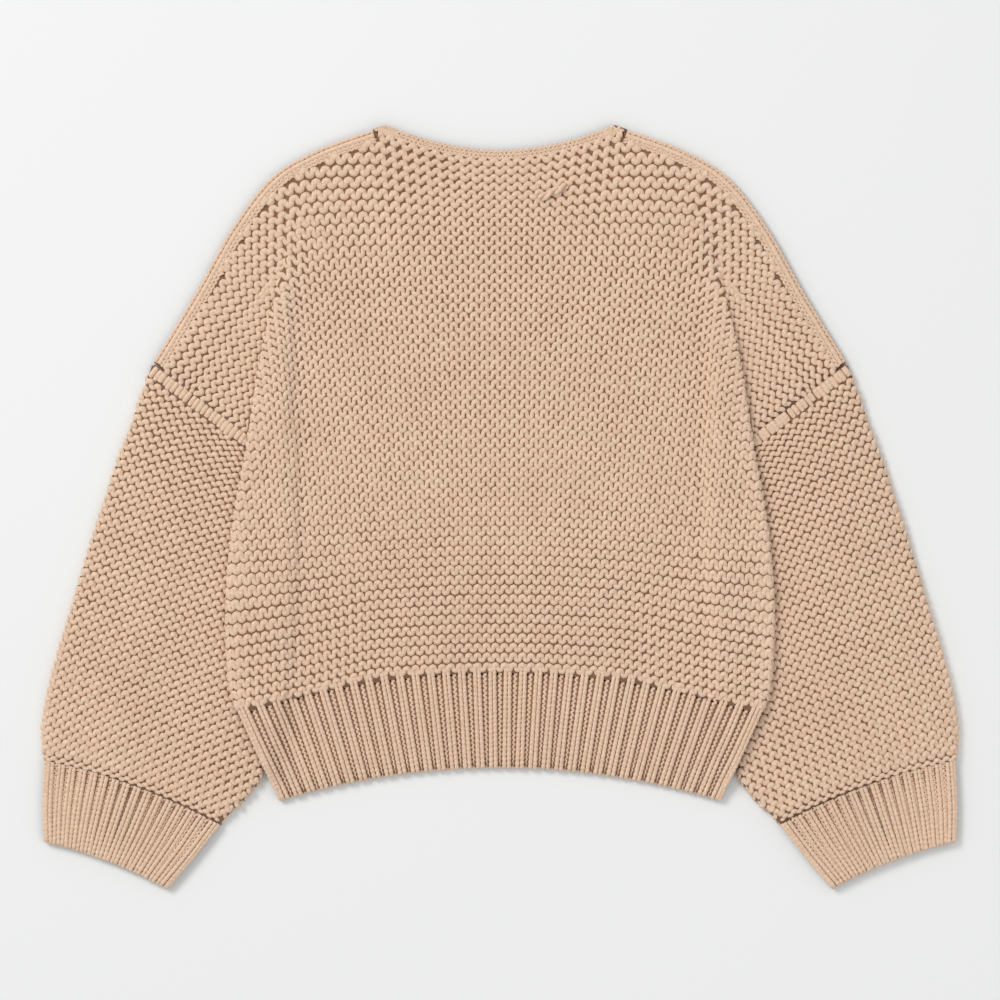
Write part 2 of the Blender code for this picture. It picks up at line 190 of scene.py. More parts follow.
def wool(name, dark, light, plies=True):
    """Wool that varies between two tones."""
    material = bpy.data.materials.new(name)
    material.use_nodes = True
    tree = material.node_tree
    place = add_node(tree, "ShaderNodeTexCoord", output=3)
    noise = "ShaderNodeTexNoise"
    drift = add_node(tree, noise, {}, {"Vector": place, "Scale": DRIFT_SCALE, "Detail": 2.0})
    mottle = add_node(tree, noise, {}, {"Vector": place, "Scale": MOTTLE_SCALE, "Detail": 2.0})
    fibre = add_node(tree, noise, {}, {"Vector": place, "Scale": FIBRE_SCALE, "Detail": 3.0})
    tone = (drift * 0.12 + mottle * 0.4 + fibre * 0.48 - 0.5) * CONTRAST + 0.5
    colour = add_node(tree, "ShaderNodeMix", {"data_type": "RGBA"}, {0: tone, 6: dark, 7: light}, output=2)
    height = mottle * 0.4 + fibre * 0.3
    if plies:
        around = add_node(tree, "ShaderNodeUVMap", {"uv_map": "yarn"})
        along = add_node(tree, "ShaderNodeSeparateXYZ", {}, {"Vector": around})
        across = Value(tree, along.socket.node.outputs[1])
        height = height + (along * (1 / PLY) + across).math("PINGPONG", 0.5) * 0.6
    bump = add_node(tree, "ShaderNodeBump", {}, {"Height": height, "Strength": BUMP, "Distance": MM})
    shader = tree.nodes["Principled BSDF"]
    tree.links.new(colour.socket, shader.inputs["Base Color"])
    tree.links.new(bump.socket, shader.inputs["Normal"])
    shader.inputs["Roughness"].default_value = MATT
    shader.inputs["Sheen Weight"].default_value = 0.15
    shader.inputs["Sheen Roughness"].default_value = 0.5
    shader.inputs["Specular IOR Level"].default_value = 0.15
    return material


yarn = wool("yarn", YARN, YARN_LIGHT)
# The inner cloth's dark brown is painted shade: it stands for the shade in the gaps between stitches.
painted_shade_cloth = wool("inner cloth", PAINTED_GAP_SHADE, PAINTED_GAP_SHADE_PALE, plies=False)
print("materials:", yarn.name, "and", painted_shade_cloth.name)

# %% Paper for the floor
PAPER = (0.88, 0.885, 0.87, 1.0)
paper = bpy.data.materials.new("paper")
paper.use_nodes = True
paper_shader = paper.node_tree.nodes["Principled BSDF"]
paper_shader.inputs["Base Color"].default_value = PAPER
paper_shader.inputs["Roughness"].default_value = MATT
floor.data.materials.append(paper)
print("the floor is", paper.name)

# %% [markdown]
# ## The sizes of the garment
#
# These are the sizes of the panels as they lie, in millimetres as a knitter measures them:
# 'out' from the centre line and 'drop' below the high points of the shoulders.  They could be
# read back from the frame's meshes, but the courses of yarn need whole edges and seams, and
# those are easier to write down once than to find among triangles.

# %% Sizes
LENGTH = 710.8                   # from the shoulders' high points to the lowest cuff
WALL = 4.0                       # thickness of the knit
LAYER = 4.6                      # from one layer to the next
LIFT = 2 * LAYER                 # how far the back climbs to lie over a sleeve
RADIUS = (LAYER + WALL) / 2      # of a fold, on its outer side
FACE = LAYER + WALL              # height of the back where it lies flat
NECK_HALF = 107.0
NECK_DROP = 23.5
NECK_BEND = 1.9                  # power of the neck's curve
CREASE_TOP = 80.0                # where the crease of the dropped shoulder begins to rise
CREASE_RISE = 165.0              # and the drop over which it rises
HEM_DROP = 598.0                 # of the lower edge, on the centre line
HEM_HALF = 206.0
HEM_CORNER = 629.0
HEM_RIBS = 34
CUFF_RIBS = 16
print("the garment is", LENGTH, "mm long as it lies")

# %% Lines across the back
# each starts on the centre line at drop 'centre' and ends at the edge, at drop 'edge'
Section = namedtuple("Section", "out edge centre")
BACK = (
    Section(95.0, 14.6, 33.0),
    Section(150.0, 49.0, 47.0),
    Section(186.0, 85.0, 70.0),
    Section(207.0, 150.0, 124.0),
    Section(222.5, 212.0, 196.0),
    Section(235.3, 294.0, 276.0),
    Section(248.3, 368.0, 348.0),
    Section(255.0, 443.0, 420.0),
    Section(252.4, 517.0, 483.0),
    Section(242.7, 549.6, 511.0),
)
print("the back widens to", max(row.out for row in BACK), "mm from its centre line")

# %% The shoulder's edge, and rings across the sleeve and cuff
# a ring runs from the inner fold to the outer one, and 'bow' is its bend towards the neck
Shoulder = namedtuple("Shoulder", "out drop")
SHOULDER = (
    Shoulder(119.0, 4.8),
    Shoulder(171.6, 24.2),
    Shoulder(213.0, 49.5),
    Shoulder(249.0, 96.0),
    Shoulder(283.0, 156.0),
    Shoulder(322.7, 221.3),
)
Ring = namedtuple("Ring", "in_out in_drop out_out out_drop bow")
SLEEVE = (
    Ring(202.4, 321.8, 325.0, 222.2, 0.0),
    Ring(202.0, 372.0, 341.0, 270.0, 1.5),
    Ring(202.5, 430.0, 362.0, 328.0, 3.0),
    Ring(205.0, 490.0, 381.0, 388.0, 4.0),
    Ring(211.5, 548.0, 400.0, 449.0, 5.0),
    Ring(222.0, 605.0, 418.5, 514.0, 6.0),
    Ring(240.0, 631.0, 426.8, 562.0, 6.5),
    Ring(261.5, 653.0, 424.5, 593.0, 7.0),
)
CUFF = (
    Ring(261.6, 653.4, 424.6, 593.4, 7.0),
    Ring(284.0, 682.0, 426.3, 632.0, 5.5),
    Ring(309.0, 710.8, 425.0, 666.5, 4.5),
)
print(len(SLEEVE), "rings on a sleeve and", len(CUFF), "on a cuff")


# %% Curves through the rows
def smooth(t):
    """Rises from 0 to 1 with level ends."""
    t = np.clip(t, 0.0, 1.0)
    return t * t * (3 - 2 * t)


def mix(a, b, t):
    """Goes from a to b as t goes from 0 to 1."""
    return a + (b - a) * t


def glide(rows, column, t):
    """A column of a table on a smooth curve through its rows, where whole numbers are the rows."""
    values = np.array([getattr(row, column) for row in rows])
    last = len(rows) - 1
    t = np.asarray(t, float)
    k = np.clip(t.astype(int), 0, last - 1)
    f = t - k
    a, b, c, d = (values[np.clip(k + shift, 0, last)] for shift in (-1, 0, 1, 2))
    return b + 0.5 * f * (c - a + f * (2 * a - 5 * b + 4 * c - d + f * (3 * (b - c) + d - a)))


FINE = np.linspace(0, len(BACK) - 1, 400)
EDGE_OUT = glide(BACK, "out", FINE)
EDGE_DROP = glide(BACK, "edge", FINE)
SHOULDER_FINE = np.linspace(0, len(SHOULDER) - 1, 200)
SHOULDER_OUT = glide(SHOULDER, "out", SHOULDER_FINE)
SHOULDER_DROP = glide(SHOULDER, "drop", SHOULDER_FINE)


def edge_out(drop):
    """How far out the crease lies at a drop, and below the underarm the side fold."""
    return np.interp(drop, EDGE_DROP, EDGE_OUT)


def crease_height(drop):
    """How far the back has climbed at its crease, at a drop."""
    return LIFT * smooth((drop - CREASE_TOP) / CREASE_RISE)


print("half width at the chest", round(float(edge_out(400.0)), 1), "mm")

# %% [markdown]
# ## Heights from the frame
#
# The panels swell, dip and climb over each other.  Yarn could be pressed onto them with a
# Shrinkwrap modifier, but a strand's path is needed as numbers before there is a mesh.  A ray
# that falls on a panel finds the height of its face anywhere, so no strand has to guess.

# %% Rays on the panels
MISS = -1000.0                   # height given where a ray finds no cloth
RAY_START = 1.0                  # metres above or below the garment


def panel_tree(node):
    """A panel's mesh, ready for rays."""
    shell = bmesh.new()
    shell.from_mesh(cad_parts[node].data)
    tree = BVHTree.FromBMesh(shell)
    shell.free()
    return tree


PANELS = {node: panel_tree(node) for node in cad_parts}


def face_height(node, x, drop, below=False):
    """Heights in millimetres of a panel's upper or lower face."""
    start, way = (-RAY_START, Vector((0, 0, 1))) if below else (RAY_START, Vector((0, 0, -1)))
    found = []
    for px, pd in zip(np.atleast_1d(x), np.atleast_1d(drop)):
        hit = PANELS[node].ray_cast(Vector((px * MM, (LENGTH / 2 - pd) * MM, start)), way)[0]
        found.append(MISS if hit is None else hit.z / MM)
    return np.array(found)


def known_heights(height, good):
    """Heights with those that aren't good filled in from their neighbours."""
    return np.interp(np.arange(len(height)), np.flatnonzero(good), height[good])


print("the back is", face_height("back", 0.0, 300.0), "mm high in the middle")

# %% [markdown]
# ## The cloth under the yarn
#
# A knitted panel is a wall a few millimetres thick.  It could be modelled again from its
# ouline, but it has to keep the form of the frame's panel, folds and creases too.  So each
# wall starts as a copy of the frame's node, whose loose triangles are merged into a closed
# wall.  Its faces are then drawn in by a little over a millimetre, which leaves room for the
# strands that stand on it.  The wall is coloured in painted shade, and shows only as the dark
# in the gaps between stitches.  The lower face of the back lies on the fronts and keeps its
# height, and the fronts and the bands keep their edges.

# %% Cloth walls
SINK = 1.25 * MM                 # how far a face is drawn in
MERGE = 0.02 * MM                # triangles' corners closer than this are one
Cut = namedtuple("Cut", "width length area")


def cloth_wall(node):
    """A thin closed wall of cloth in a node's form."""
    wall = bmesh.new()
    wall.from_mesh(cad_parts[node].data)
    bmesh.ops.remove_doubles(wall, verts=wall.verts[:], dist=MERGE)
    wall.normal_update()
    for vert in wall.verts:
        inward = vert.normal * SINK
        if "front" in node or "band" in node:
            inward.x = inward.y = 0.0
        elif "back" in node and inward.z < 0:
            inward.z = 0.0
        vert.co -= inward
    mesh = bpy.data.meshes.new(node + "_cloth")
    wall.to_mesh(mesh)
    wall.free()
    # the wall takes the dark cloth colour, which is painted shade for the gaps between stitches
    mesh.materials.append(painted_shade_cloth)
    mesh.shade_smooth()
    piece = bpy.data.objects.new(node + "_cloth", mesh)
    bpy.context.scene.collection.objects.link(piece)
    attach(piece, "root")
    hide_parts(node)
    "rib" if "rib" in node or "band" in node or "cuff" in node else "garter"


# %% A cloth wall for each node
for node in sorted(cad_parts):
    cloth_wall(node)

# %% [markdown]
# ## A strand of yarn
#
# Every stitch in this piece is a strand seen from one side.  A curve with a bevel would make
# whole tubes, and half of their faces would never be seen, so a strand is half a tube.  A
# flat grid makes it: the grid's long side follows the strand's path and its short side goes
# over the top.  Strands differ only in their path, so one function lays them all.

# %% Points of a strand, in millimetres
def at(x, drop, z):
    """Points of the garment at a drop, in the frame's own axes."""
    return np.stack([x, LENGTH / 2 - drop, z], axis=-1)


def unit_heading(path):
    """The direction of a line at each of its points."""
    heading = np.gradient(path, axis=0)
    return heading / np.linalg.norm(heading, axis=1, keepdims=True)


def run_length(path):
    """Length along a line up to each of its points."""
    return np.concatenate(([0], np.cumsum(np.linalg.norm(np.diff(path, axis=0), axis=1))))


print("the lowest point of the garment lies at y =", float(at(0.0, LENGTH, 0.0)[1]), "mm")

# %% Laying strands
Strand = namedtuple("Strand", "path normal half_width half_height")
FLANK = math.radians(14)         # how far a strand's sides tuck in under it


def lay_strands(name, strands, material=None, faces=4):
    """One mesh of half tubes.  A strand's path and normal are lists of points, in millimetres."""
    yarns = bmesh.new()
    for strand in strands:
        bmesh.ops.create_grid(yarns, x_segments=len(strand.path) - 1, y_segments=faces, size=1.0)
    mesh = bpy.data.meshes.new(name)
    yarns.to_mesh(mesh)
    yarns.free()
    grid = np.empty(len(mesh.vertices) * 3, np.float32)
    mesh.vertices.foreach_get("co", grid)
    grid = grid.reshape(-1, 3)
    placed = np.empty_like(grid)
    around = np.empty((len(grid), 2), np.float32)
    begin = 0
    for strand in strands:
        count = len(strand.path)
        end = begin + count * (faces + 1)
        i = np.rint((grid[begin:end, 0] + 1) / 2 * (count - 1)).astype(int)
        j = np.rint((grid[begin:end, 1] + 1) / 2 * faces)
        turn = mix(-FLANK, math.pi + FLANK, j / faces)
        heading = np.gradient(strand.path, axis=0)
        sideways = np.cross(strand.normal, heading)
        sideways /= np.linalg.norm(sideways, axis=1, keepdims=True) + 1e-9
        wide = (np.cos(turn) * strand.half_width[i])[:, None]
        high = (np.sin(turn) * strand.half_height[i])[:, None]
        placed[begin:end] = strand.path[i] - sideways[i] * wide + strand.normal[i] * high
        around[begin:end, 0] = run_length(strand.path)[i]
        around[begin:end, 1] = j / faces
        begin = end
    placed[:, 2] = np.maximum(placed[:, 2], 0.0)
    mesh.vertices.foreach_set("co", (placed * MM).ravel())
    corner = np.empty(len(mesh.loops), np.int32)
    mesh.loops.foreach_get("vertex_index", corner)
    bake = mesh.uv_layers.new(name="OFBake")
    low, high = placed[:, :2].min(0), placed[:, :2].max(0)
    bake.data.foreach_set("uv", ((placed[:, :2] - low) / (high - low).max())[corner].ravel())
    plies = mesh.uv_layers.new(name="yarn")
    plies.data.foreach_set("uv", around[corner].ravel())
    mesh.materials.append(material or yarn)
    mesh.shade_smooth()
    mesh.update()
    piece = bpy.data.objects.new(name, mesh)
    bpy.context.scene.collection.objects.link(piece)
    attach(piece, "root")
    print(name, len(strands), "strands,", 2 * len(mesh.polygons), "triangles")
    return piece


print("strands tuck in by", round(math.degrees(FLANK)), "degrees at their sides")

# %% [markdown]
# ## The garter ridge
#
# In one ridge the strand goes over and under like a meander: an arch towards the neck, then a
# cup towards the hem, with short upright legs between.  One stitch could be modelled and
# repeated by an Array, but an array can't fan or turn with the cloth.  So a course is given by
# its line on the cloth and the number of stitches along it, and a formula swings the strand
# about that line.  A small seeded unevenness keeps it from looking printed.

# %% A ridge from a course
Course = namedtuple("Course", "path normal across stitch")
Look = namedtuple("Look", "half height swing lean proud square waist", defaults=(0.0, 0.0, 0.035, 0.1))
# half, height: of the strand's section.  swing: up and down, in ridges.  lean: fatter cups.
# proud: how far arches rise and cups sink.  square: steeper legs.  waist: thinner legs.
BODY = Look(half=2.45, height=1.9, swing=0.33, lean=-0.03, proud=0.1, square=0.085, waist=0.2)
NECK = Look(half=3.0, height=2.1, swing=0.23, lean=0.12, proud=-0.3, square=0.08, waist=0.12)
SLEEVE_LOOK = Look(half=2.85, height=2.15, swing=0.27, lean=-0.08, proud=0.35, square=0.085, waist=0.2)
SHOULDER_LOOK = Look(half=3.05, height=2.4, swing=0.22, lean=-0.03, proud=0.1, square=0.055, waist=0.14)
LOW = Look(half=2.48, height=2.1, swing=0.245, lean=-0.06, proud=0.35, square=0.08, waist=0.16)
FOLD = Look(half=2.8, height=1.6, swing=0.30, square=0.03, waist=-0.05)
UNDER = Look(half=2.5, height=1.25, swing=0.29)
RIDGE = 9.1                      # between ridges, at the usual gauge
SUNK = 0.95                      # how far a strand's middle lies below the panel's face
HANG = 0.2                       # and how far below its course, in ridges
ARCH = 0.22                      # how far arches and cups rise, and the legs between them sink
ALONG, ACROSS, ABOVE, THICK = 0.022, 0.018, 0.10, 0.04  # unevenness of a strand
UP = np.array((0.0, 0.0, 1.0))
DOWN = -UP
rng = np.random.default_rng(12)


def resample(table, known, wanted):
    """Each column of a table, read between its rows."""
    return np.stack([np.interp(wanted, known, table[:, c]) for c in range(table.shape[1])], axis=1)


def uneven(wanted, spread):
    """A smooth random wander with about two turns to a stitch."""
    low = math.floor(wanted[0]) - 1
    count = int((wanted[-1] - low) * 2) + 4
    return np.interp(wanted, low + np.arange(count) / 2, rng.normal(0.0, spread, count))


def blend_looks(a, b, t):
    """A look between two looks."""
    return Look(*(mix(x, y, t) for x, y in zip(a, b)))


def garter_ridge(course, look, steps=10):
    """The strand of one ridge: arches at the half stitches and cups at the whole ones.
    A size of the look may also be a list, with a value for each point of the course."""
    first, last = course.stitch[0], course.stitch[-1]
    u = np.arange(math.ceil(first * steps), math.floor(last * steps) + 1) / steps
    look = Look(*(np.interp(u, course.stitch, size) if np.ndim(size) else size for size in look))
    along = u + look.square * np.sin(4 * math.pi * u) + uneven(u, ALONG)
    base = resample(course.path, course.stitch, along)
    normal = resample(course.normal, course.stitch, along)
    across = resample(course.across, course.stitch, along)
    pitch = np.linalg.norm(across, axis=1)
    cup = np.cos(2 * math.pi * u)
    rise = ARCH * np.cos(4 * math.pi * u) - SUNK - look.proud * cup + uneven(u, ABOVE)
    swing = HANG + look.swing * cup + uneven(u, ACROSS)
    path = base + across * swing[:, None] + normal * rise[:, None]
    plump = 1 + look.lean * cup + look.waist * np.cos(4 * math.pi * u) + uneven(u, THICK)
    half = look.half * (pitch / RIDGE) ** 0.5 * plump
    return Strand(path, normal, half, look.height * np.ones(len(u)))


def course_on(path, normal, spacing, pitch, start=0.0, flip=1.0):
    """A course through points.  'spacing' is the distance to the next course, 'pitch' that
    between stitches, and 'start' the stitch number of the first point."""
    down = np.cross(unit_heading(path), normal) * flip
    return Course(path, normal, down * spacing[:, None], start + run_length(path) / pitch)


def upright(path):
    """Normals of a line that lies on cloth: square to the line, and as near upright as may be."""
    heading = unit_heading(path)
    normal = UP - heading * (heading @ UP)[:, None]
    return normal / np.maximum(np.linalg.norm(normal, axis=1, keepdims=True), 1e-6)


print("looks of a ridge:", BODY)

# %% [markdown]
# ## Courses of the back
#
# The gauge is eleven ridges to ten centimetres, and ten stitches in the upper half.  The rib
# gathers the stitches to twelve at the hem, and the neck stretches the first few courses.  The
# courses hang like a rainbow: each leaves the centre line almost level, follows the neck if it
# starts close to it, and bends down where the dropped shoulder turns away.  They could be
# drawn one by one as curves, but there are over fifty.  The slope is the sum of those few
# causes instead, and stepping outwards along it draws the course.

# %% Slopes of the courses
COURSES = 54
UPPER_STITCH = 9.9               # between stitches near the shoulders
LOWER_STITCH = 8.3               # between stitches at the hem
NECK_STRETCH = 1.1               # added at the neck, and less with each course
NECK_SQUEEZE = 0.20              # share of a ridge lost at the neck
FIRST_DROP = 33.5
STEP = 2.0                       # between points of a course
OUTS = np.arange(0.0, 340.0, STEP)
NECK_RISE, NECK_END = 28.2, 119.0  # how far the neck seam rises, and where it ends
LAST_OPEN = 11                   # the last course that runs on over the crease
UPPER_TILT, LOWER_TILT = math.radians(46), math.radians(57)  # on the dropped shoulder
NECK_COURSES = 14                # courses that still follow the neck
LEVEL_SLOPE = 0.06               # of courses away from the neck
TROUGH_SLOPE, TROUGH_OUT, TROUGH_WIDTH = 0.11, 140.0, 24.0  # the body's long soft trough
FAN_SLOPE = 0.14                 # added near the sides above the hem
TURN_OUT, TURN_WIDTH = 206.0, 14.0  # where the open courses turn down the shoulder


def stitch_pitch(v):
    """Distance between the stitches of course v."""
    return mix(UPPER_STITCH, LOWER_STITCH, float(smooth(v / COURSES))) + NECK_STRETCH * math.exp(-v / 7)


def centre_drop(v):
    """Drop of course v on the centre line."""
    return FIRST_DROP + RIDGE * (v - NECK_SQUEEZE * 6 * (1 - math.exp(-v / 6)))


# the last course ends just past the seam of the rib
CENTRE_SCALE = (BACK[-1].centre - FIRST_DROP + 1.5) / (centre_drop(COURSES) - FIRST_DROP)


def arm_slope(drop):
    """Steepness of the courses on the dropped shoulder."""
    return mix(math.tan(UPPER_TILT), math.tan(LOWER_TILT), float(smooth((drop - 100) / 90)))


def body_slope(out, drop, v):
    """Slope of course v at a point: how much drop it gains for each millimetre outwards."""
    near_neck = max(1 - v / NECK_COURSES, 0) ** 1.5
    level = LEVEL_SLOPE * smooth(out / 70) * (1 - near_neck)
    neck = -NECK_RISE * near_neck * NECK_BEND / NECK_END * (out / NECK_END) ** (NECK_BEND - 1)
    neck = neck * (1 - smooth((out - 106) / 16))
    trough = TROUGH_SLOPE * math.exp(-((out - TROUGH_OUT) / TROUGH_WIDTH) ** 2) * smooth((drop - 340) / 130)
    fan = FAN_SLOPE * smooth((drop - 380) / 130) * smooth((out - 90) / 70)
    turn_out = mix(TURN_OUT, float(edge_out(drop)) + 11, float(smooth((v - LAST_OPEN + 1) / 9)))
    turned = 1 / (1 + math.exp(-(out - turn_out) / TURN_WIDTH))
    bend = arm_slope(drop) * turned * (1 - smooth((drop - 205) / 90))
    return float(level + neck + trough + fan + bend)


def draw_course(start_out, start_drop, slope):
    """Drops over OUTS of a course through a given point."""
    begin = int(start_out / STEP)
    drops = np.full(len(OUTS), float(start_drop))
    for k in range(begin, len(OUTS) - 1):
        drops[k + 1] = drops[k] + STEP * slope(OUTS[k] + STEP / 2, drops[k])
    for k in range(begin, 0, -1):
        drops[k - 1] = drops[k] - STEP * slope(OUTS[k] - STEP / 2, drops[k])
    return drops


DRAWN = []
for v in range(COURSES + 1):
    middle = FIRST_DROP + (centre_drop(v) - FIRST_DROP) * CENTRE_SCALE
    DRAWN.append(draw_course(0.0, middle, lambda out, drop: body_slope(out, drop, v)))
side_drop = float(np.interp(BACK[-1].out, OUTS, DRAWN[COURSES - 1]))
print("the last course ends at drop", round(side_drop, 1), "at the side")

# %% [markdown]
# ## Where a course ends
#
# Courses near the neck run on over the crease to the shoulder strip.  Those further down turn
# under at the fold, where the body lies over the dropped shoulder and then over the sleeve.
# The strands could all be cut off at an edge, but a cut end shows its hollow, so each runs in
# under the strip or the seam, or turns under with the fold.

# %% Where the shoulder's edge and the armhole seam lie
STRIP = 11.5                     # width of the shoulder strip
TUCK = 2.5                       # how far a course runs in under the strip
SEAM_DIP = 1.5                   # how far a course sinks at the armhole seam
PAST_SEAM = 3.5                  # and how far it runs on beyond it
ARM_STITCH = 9.3                 # between stitches on the dropped shoulder
COLUMNS_START, COLUMNS_END = 160.0, 215.0  # where the body's columns turn into the shoulder's
ARM_TIP = np.array(SHOULDER[-1])  # outer end of the armhole seam
ARM_FOLD = np.array((234.5, 287.5))  # where it goes in under the body's fold
TURN_STEP = 15                   # degrees between the points of a strand that turns under
FIRST_EDGE, EDGE_ROUNDS = 225.0, 12  # a guess at where a course meets the fold, and its rounds
LEAST_RADIUS = 1.5               # of a fold that a strand turns round
ALONG_SEAM = (ARM_TIP - ARM_FOLD) / np.linalg.norm(ARM_TIP - ARM_FOLD)
EDGE_POINTS = np.stack([SHOULDER_OUT, SHOULDER_DROP], axis=1)


def inside_shoulder(out, drop):
    """Distance inside the shoulder's edge, negative outside it."""
    reach = np.array([np.hypot(*(EDGE_POINTS - point).T).min() for point in zip(out, drop)])
    return np.where(drop > np.interp(out, SHOULDER_OUT, SHOULDER_DROP), reach, -reach)


def above_seam(out, drop):
    """Distance from the armhole seam, positive on the side of the neck."""
    return (out - ARM_FOLD[0]) * ALONG_SEAM[1] - (drop - ARM_FOLD[1]) * ALONG_SEAM[0]


def seam_count(out, drop):
    """Stitches from the armhole seam: those of the dropped shoulder stand in columns beside it."""
    return -above_seam(out, drop) / ARM_STITCH


def seam_dip(out, drop):
    """How far a course sinks where it meets the armhole seam."""
    return SEAM_DIP * smooth((2.5 - above_seam(out, drop)) / 3.5)


def both_sides(half, sign=1):
    """Half a course from the centre outwards, made whole."""
    return np.concatenate((sign * half[:0:-1], half))


print("the armhole seam is", round(float(np.linalg.norm(ARM_TIP - ARM_FOLD)), 1), "mm long where it shows")


# %% Open courses and folded courses
def open_course(v):
    """A course that runs on over the crease to the shoulder strip or the armhole seam."""
    drops = DRAWN[v]
    good = (OUTS < NECK_END - 3) | (inside_shoulder(OUTS, drops) > STRIP - TUCK)
    good &= above_seam(OUTS, drops) > -PAST_SEAM
    end = len(OUTS) if good.all() else int(np.argmin(good))
    out, drop = OUTS[:end], drops[:end]
    spacing = (DRAWN[v + 1] - drops)[:end] / np.sqrt(1 + np.gradient(drop, out) ** 2)
    height = face_height("back", out, drop)
    height = np.where(height == MISS, FACE, height) - seam_dip(out, drop)
    path = at(both_sides(out, -1), both_sides(drop), both_sides(height))
    counted = run_length(path)[len(out) - 1:] / stitch_pitch(v)
    counted = counted - counted[0]
    beside = seam_count(out, drop)
    beside += np.round(np.interp(COLUMNS_END, out, counted - beside))
    counted = mix(counted, beside, smooth((out - COLUMNS_START) / (COLUMNS_END - COLUMNS_START)))
    course = course_on(path, upright(path), both_sides(spacing), stitch_pitch(v))
    return course._replace(stitch=both_sides(counted, -1))


def folded_course(v, wrap=120):
    """A course that turns under at the crease or the side fold."""
    drops = DRAWN[v]
    edge = FIRST_EDGE
    for _ in range(EDGE_ROUNDS):
        edge_drop = float(np.interp(edge, OUTS, drops))
        edge = float(edge_out(edge_drop))
    radius = max(RADIUS * float(crease_height(edge_drop)) / LIFT, LEAST_RADIUS)
    flat = np.arange(0.0, edge - radius - 1, STEP)
    turns = np.radians(np.arange(0, wrap + 1, TURN_STEP))
    out = np.concatenate((flat, edge - radius + radius * np.sin(turns)))
    tilt = np.concatenate((np.zeros(len(flat)), turns))
    drop = np.interp(out, OUTS, drops)
    spacing = np.interp(out, OUTS, DRAWN[v + 1] - drops)
    height = face_height("back", out, drop)
    rim = height[len(flat) - 1]
    height = np.where(np.arange(len(out)) >= len(flat), rim - radius * (1 - np.cos(tilt)), height)
    path = at(both_sides(out, -1), both_sides(drop), both_sides(height))
    lean = both_sides(tilt, -1)
    normal = upright(path)
    normal[lean != 0] = np.stack([np.sin(lean), np.zeros(len(lean)), np.cos(lean)], axis=1)[lean != 0]
    pitch = stitch_pitch(v)
    start = -run_length(path)[len(out) - 1] / pitch
    return course_on(path, normal, both_sides(spacing), pitch, start)


print(LAST_OPEN + 1, "open courses and", COURSES - LAST_OPEN - 1, "folded ones")

# %% The stitches of the back
UPPER_COURSES = 26               # laid in a mesh of their own, so that no mesh grows too large


def back_look(course, v):
    """The look of a course of the back.  It changes from the neck to the hem, is like a rope
    beside the neck and beyond the crease, and flattens at the fold."""
    out, drop = abs(course.path[:, 0]), LENGTH / 2 - course.path[:, 1]
    edge = edge_out(drop)
    beside_neck = smooth((out - 35) / 40) * float(1 - smooth((v - 3) / 9))
    beyond_crease = smooth((out - edge) / 22)
    at_fold = np.exp(-((edge - 6 - out) / 9) ** 2) * smooth((drop - 110) / 60)
    look = blend_looks(NECK, BODY, float(smooth(v / 9)))
    look = blend_looks(look, LOW, float(smooth((v - 30) / 18)))
    look = blend_looks(look, SHOULDER_LOOK, beside_neck)
    look = blend_looks(look, SHOULDER_LOOK, beyond_crease)
    return blend_looks(look, FOLD, at_fold)


ridges = []
for v in range(COURSES):
    course = open_course(v) if v <= LAST_OPEN else folded_course(v)
    ridges.append(garter_ridge(course, back_look(course, v)))
back_stitches = [
    lay_strands("back_stitches_upper", ridges[:UPPER_COURSES]),
    lay_strands("back_stitches_lower", ridges[UPPER_COURSES:]),
]

# %% [markdown]
# ## The dropped shoulders
#
# Beyond the crease the courses run down the arm, side by side like thick cords, to the
# armhole seam.  The inner ones come out from under the fold of the body, so they start there.
# Their stitches could be counted from where each course starts, but those of neighbours would
# then be out of step, and open diamonds would show between them.  They are counted from the
# seam instead, and so stand in columns square to it.

# %% Courses of the dropped shoulders
ARM_RIDGE = 7.8                  # between courses, square to them
HIDDEN = 13                      # courses that come out from under the fold
COUNT_OUT = 246.0                # where the courses are counted off
ARM_EASING = 0.004               # slope that a course loses for each millimetre outwards
UNDER_FOLD = 6.0                 # how far in under the fold a course starts
ARM_START = 190                  # no course starts further in than this


def arm_course(side, k):
    """Course k of a dropped shoulder, counted from the last open course of the back."""
    gap = ARM_RIDGE * math.sqrt(1 + math.tan(LOWER_TILT) ** 2)
    first = float(np.interp(COUNT_OUT, OUTS, DRAWN[LAST_OPEN])) + (k + 0.9) * gap
    drops = draw_course(COUNT_OUT, first, lambda out, drop: arm_slope(drop) - ARM_EASING * (out - COUNT_OUT))
    keep = (OUTS > edge_out(drops) - UNDER_FOLD) & (above_seam(OUTS, drops) > -PAST_SEAM)
    keep &= (inside_shoulder(OUTS, drops) > STRIP - TUCK) & (OUTS > ARM_START)
    if keep.sum() < 5:
        return None
    out, drop = OUTS[keep][::-side], drops[keep][::-side]
    path = at(side * out, drop, FACE - seam_dip(out, drop))
    last = seam_count(max(out), max(drop))
    start = -last if side > 0 else last - run_length(path)[-1] / ARM_STITCH
    return course_on(path, np.tile(UP, (len(out), 1)), np.full(len(out), ARM_RIDGE), ARM_STITCH, start)


WORDS = (("left", -1), ("right", 1))
for word, side in WORDS:
    courses = [arm_course(side, k) for k in range(HIDDEN)]
    ridges = [garter_ridge(course, SHOULDER_LOOK) for course in courses if course]
    back_stitches.append(lay_strands("shoulder_stitches_" + word, ridges))

# %% [markdown]
# ## The sleeves
#
# A sleeve is a flat tube.  Its courses start level with the armhole seam, ease as they go
# down, and fan at the cuff.  They could be rings through the whole tube, but the inside never
# shows.  So each wraps round the outer fold, crosses the upper side, and wraps round the inner
# fold where it shows below the body.

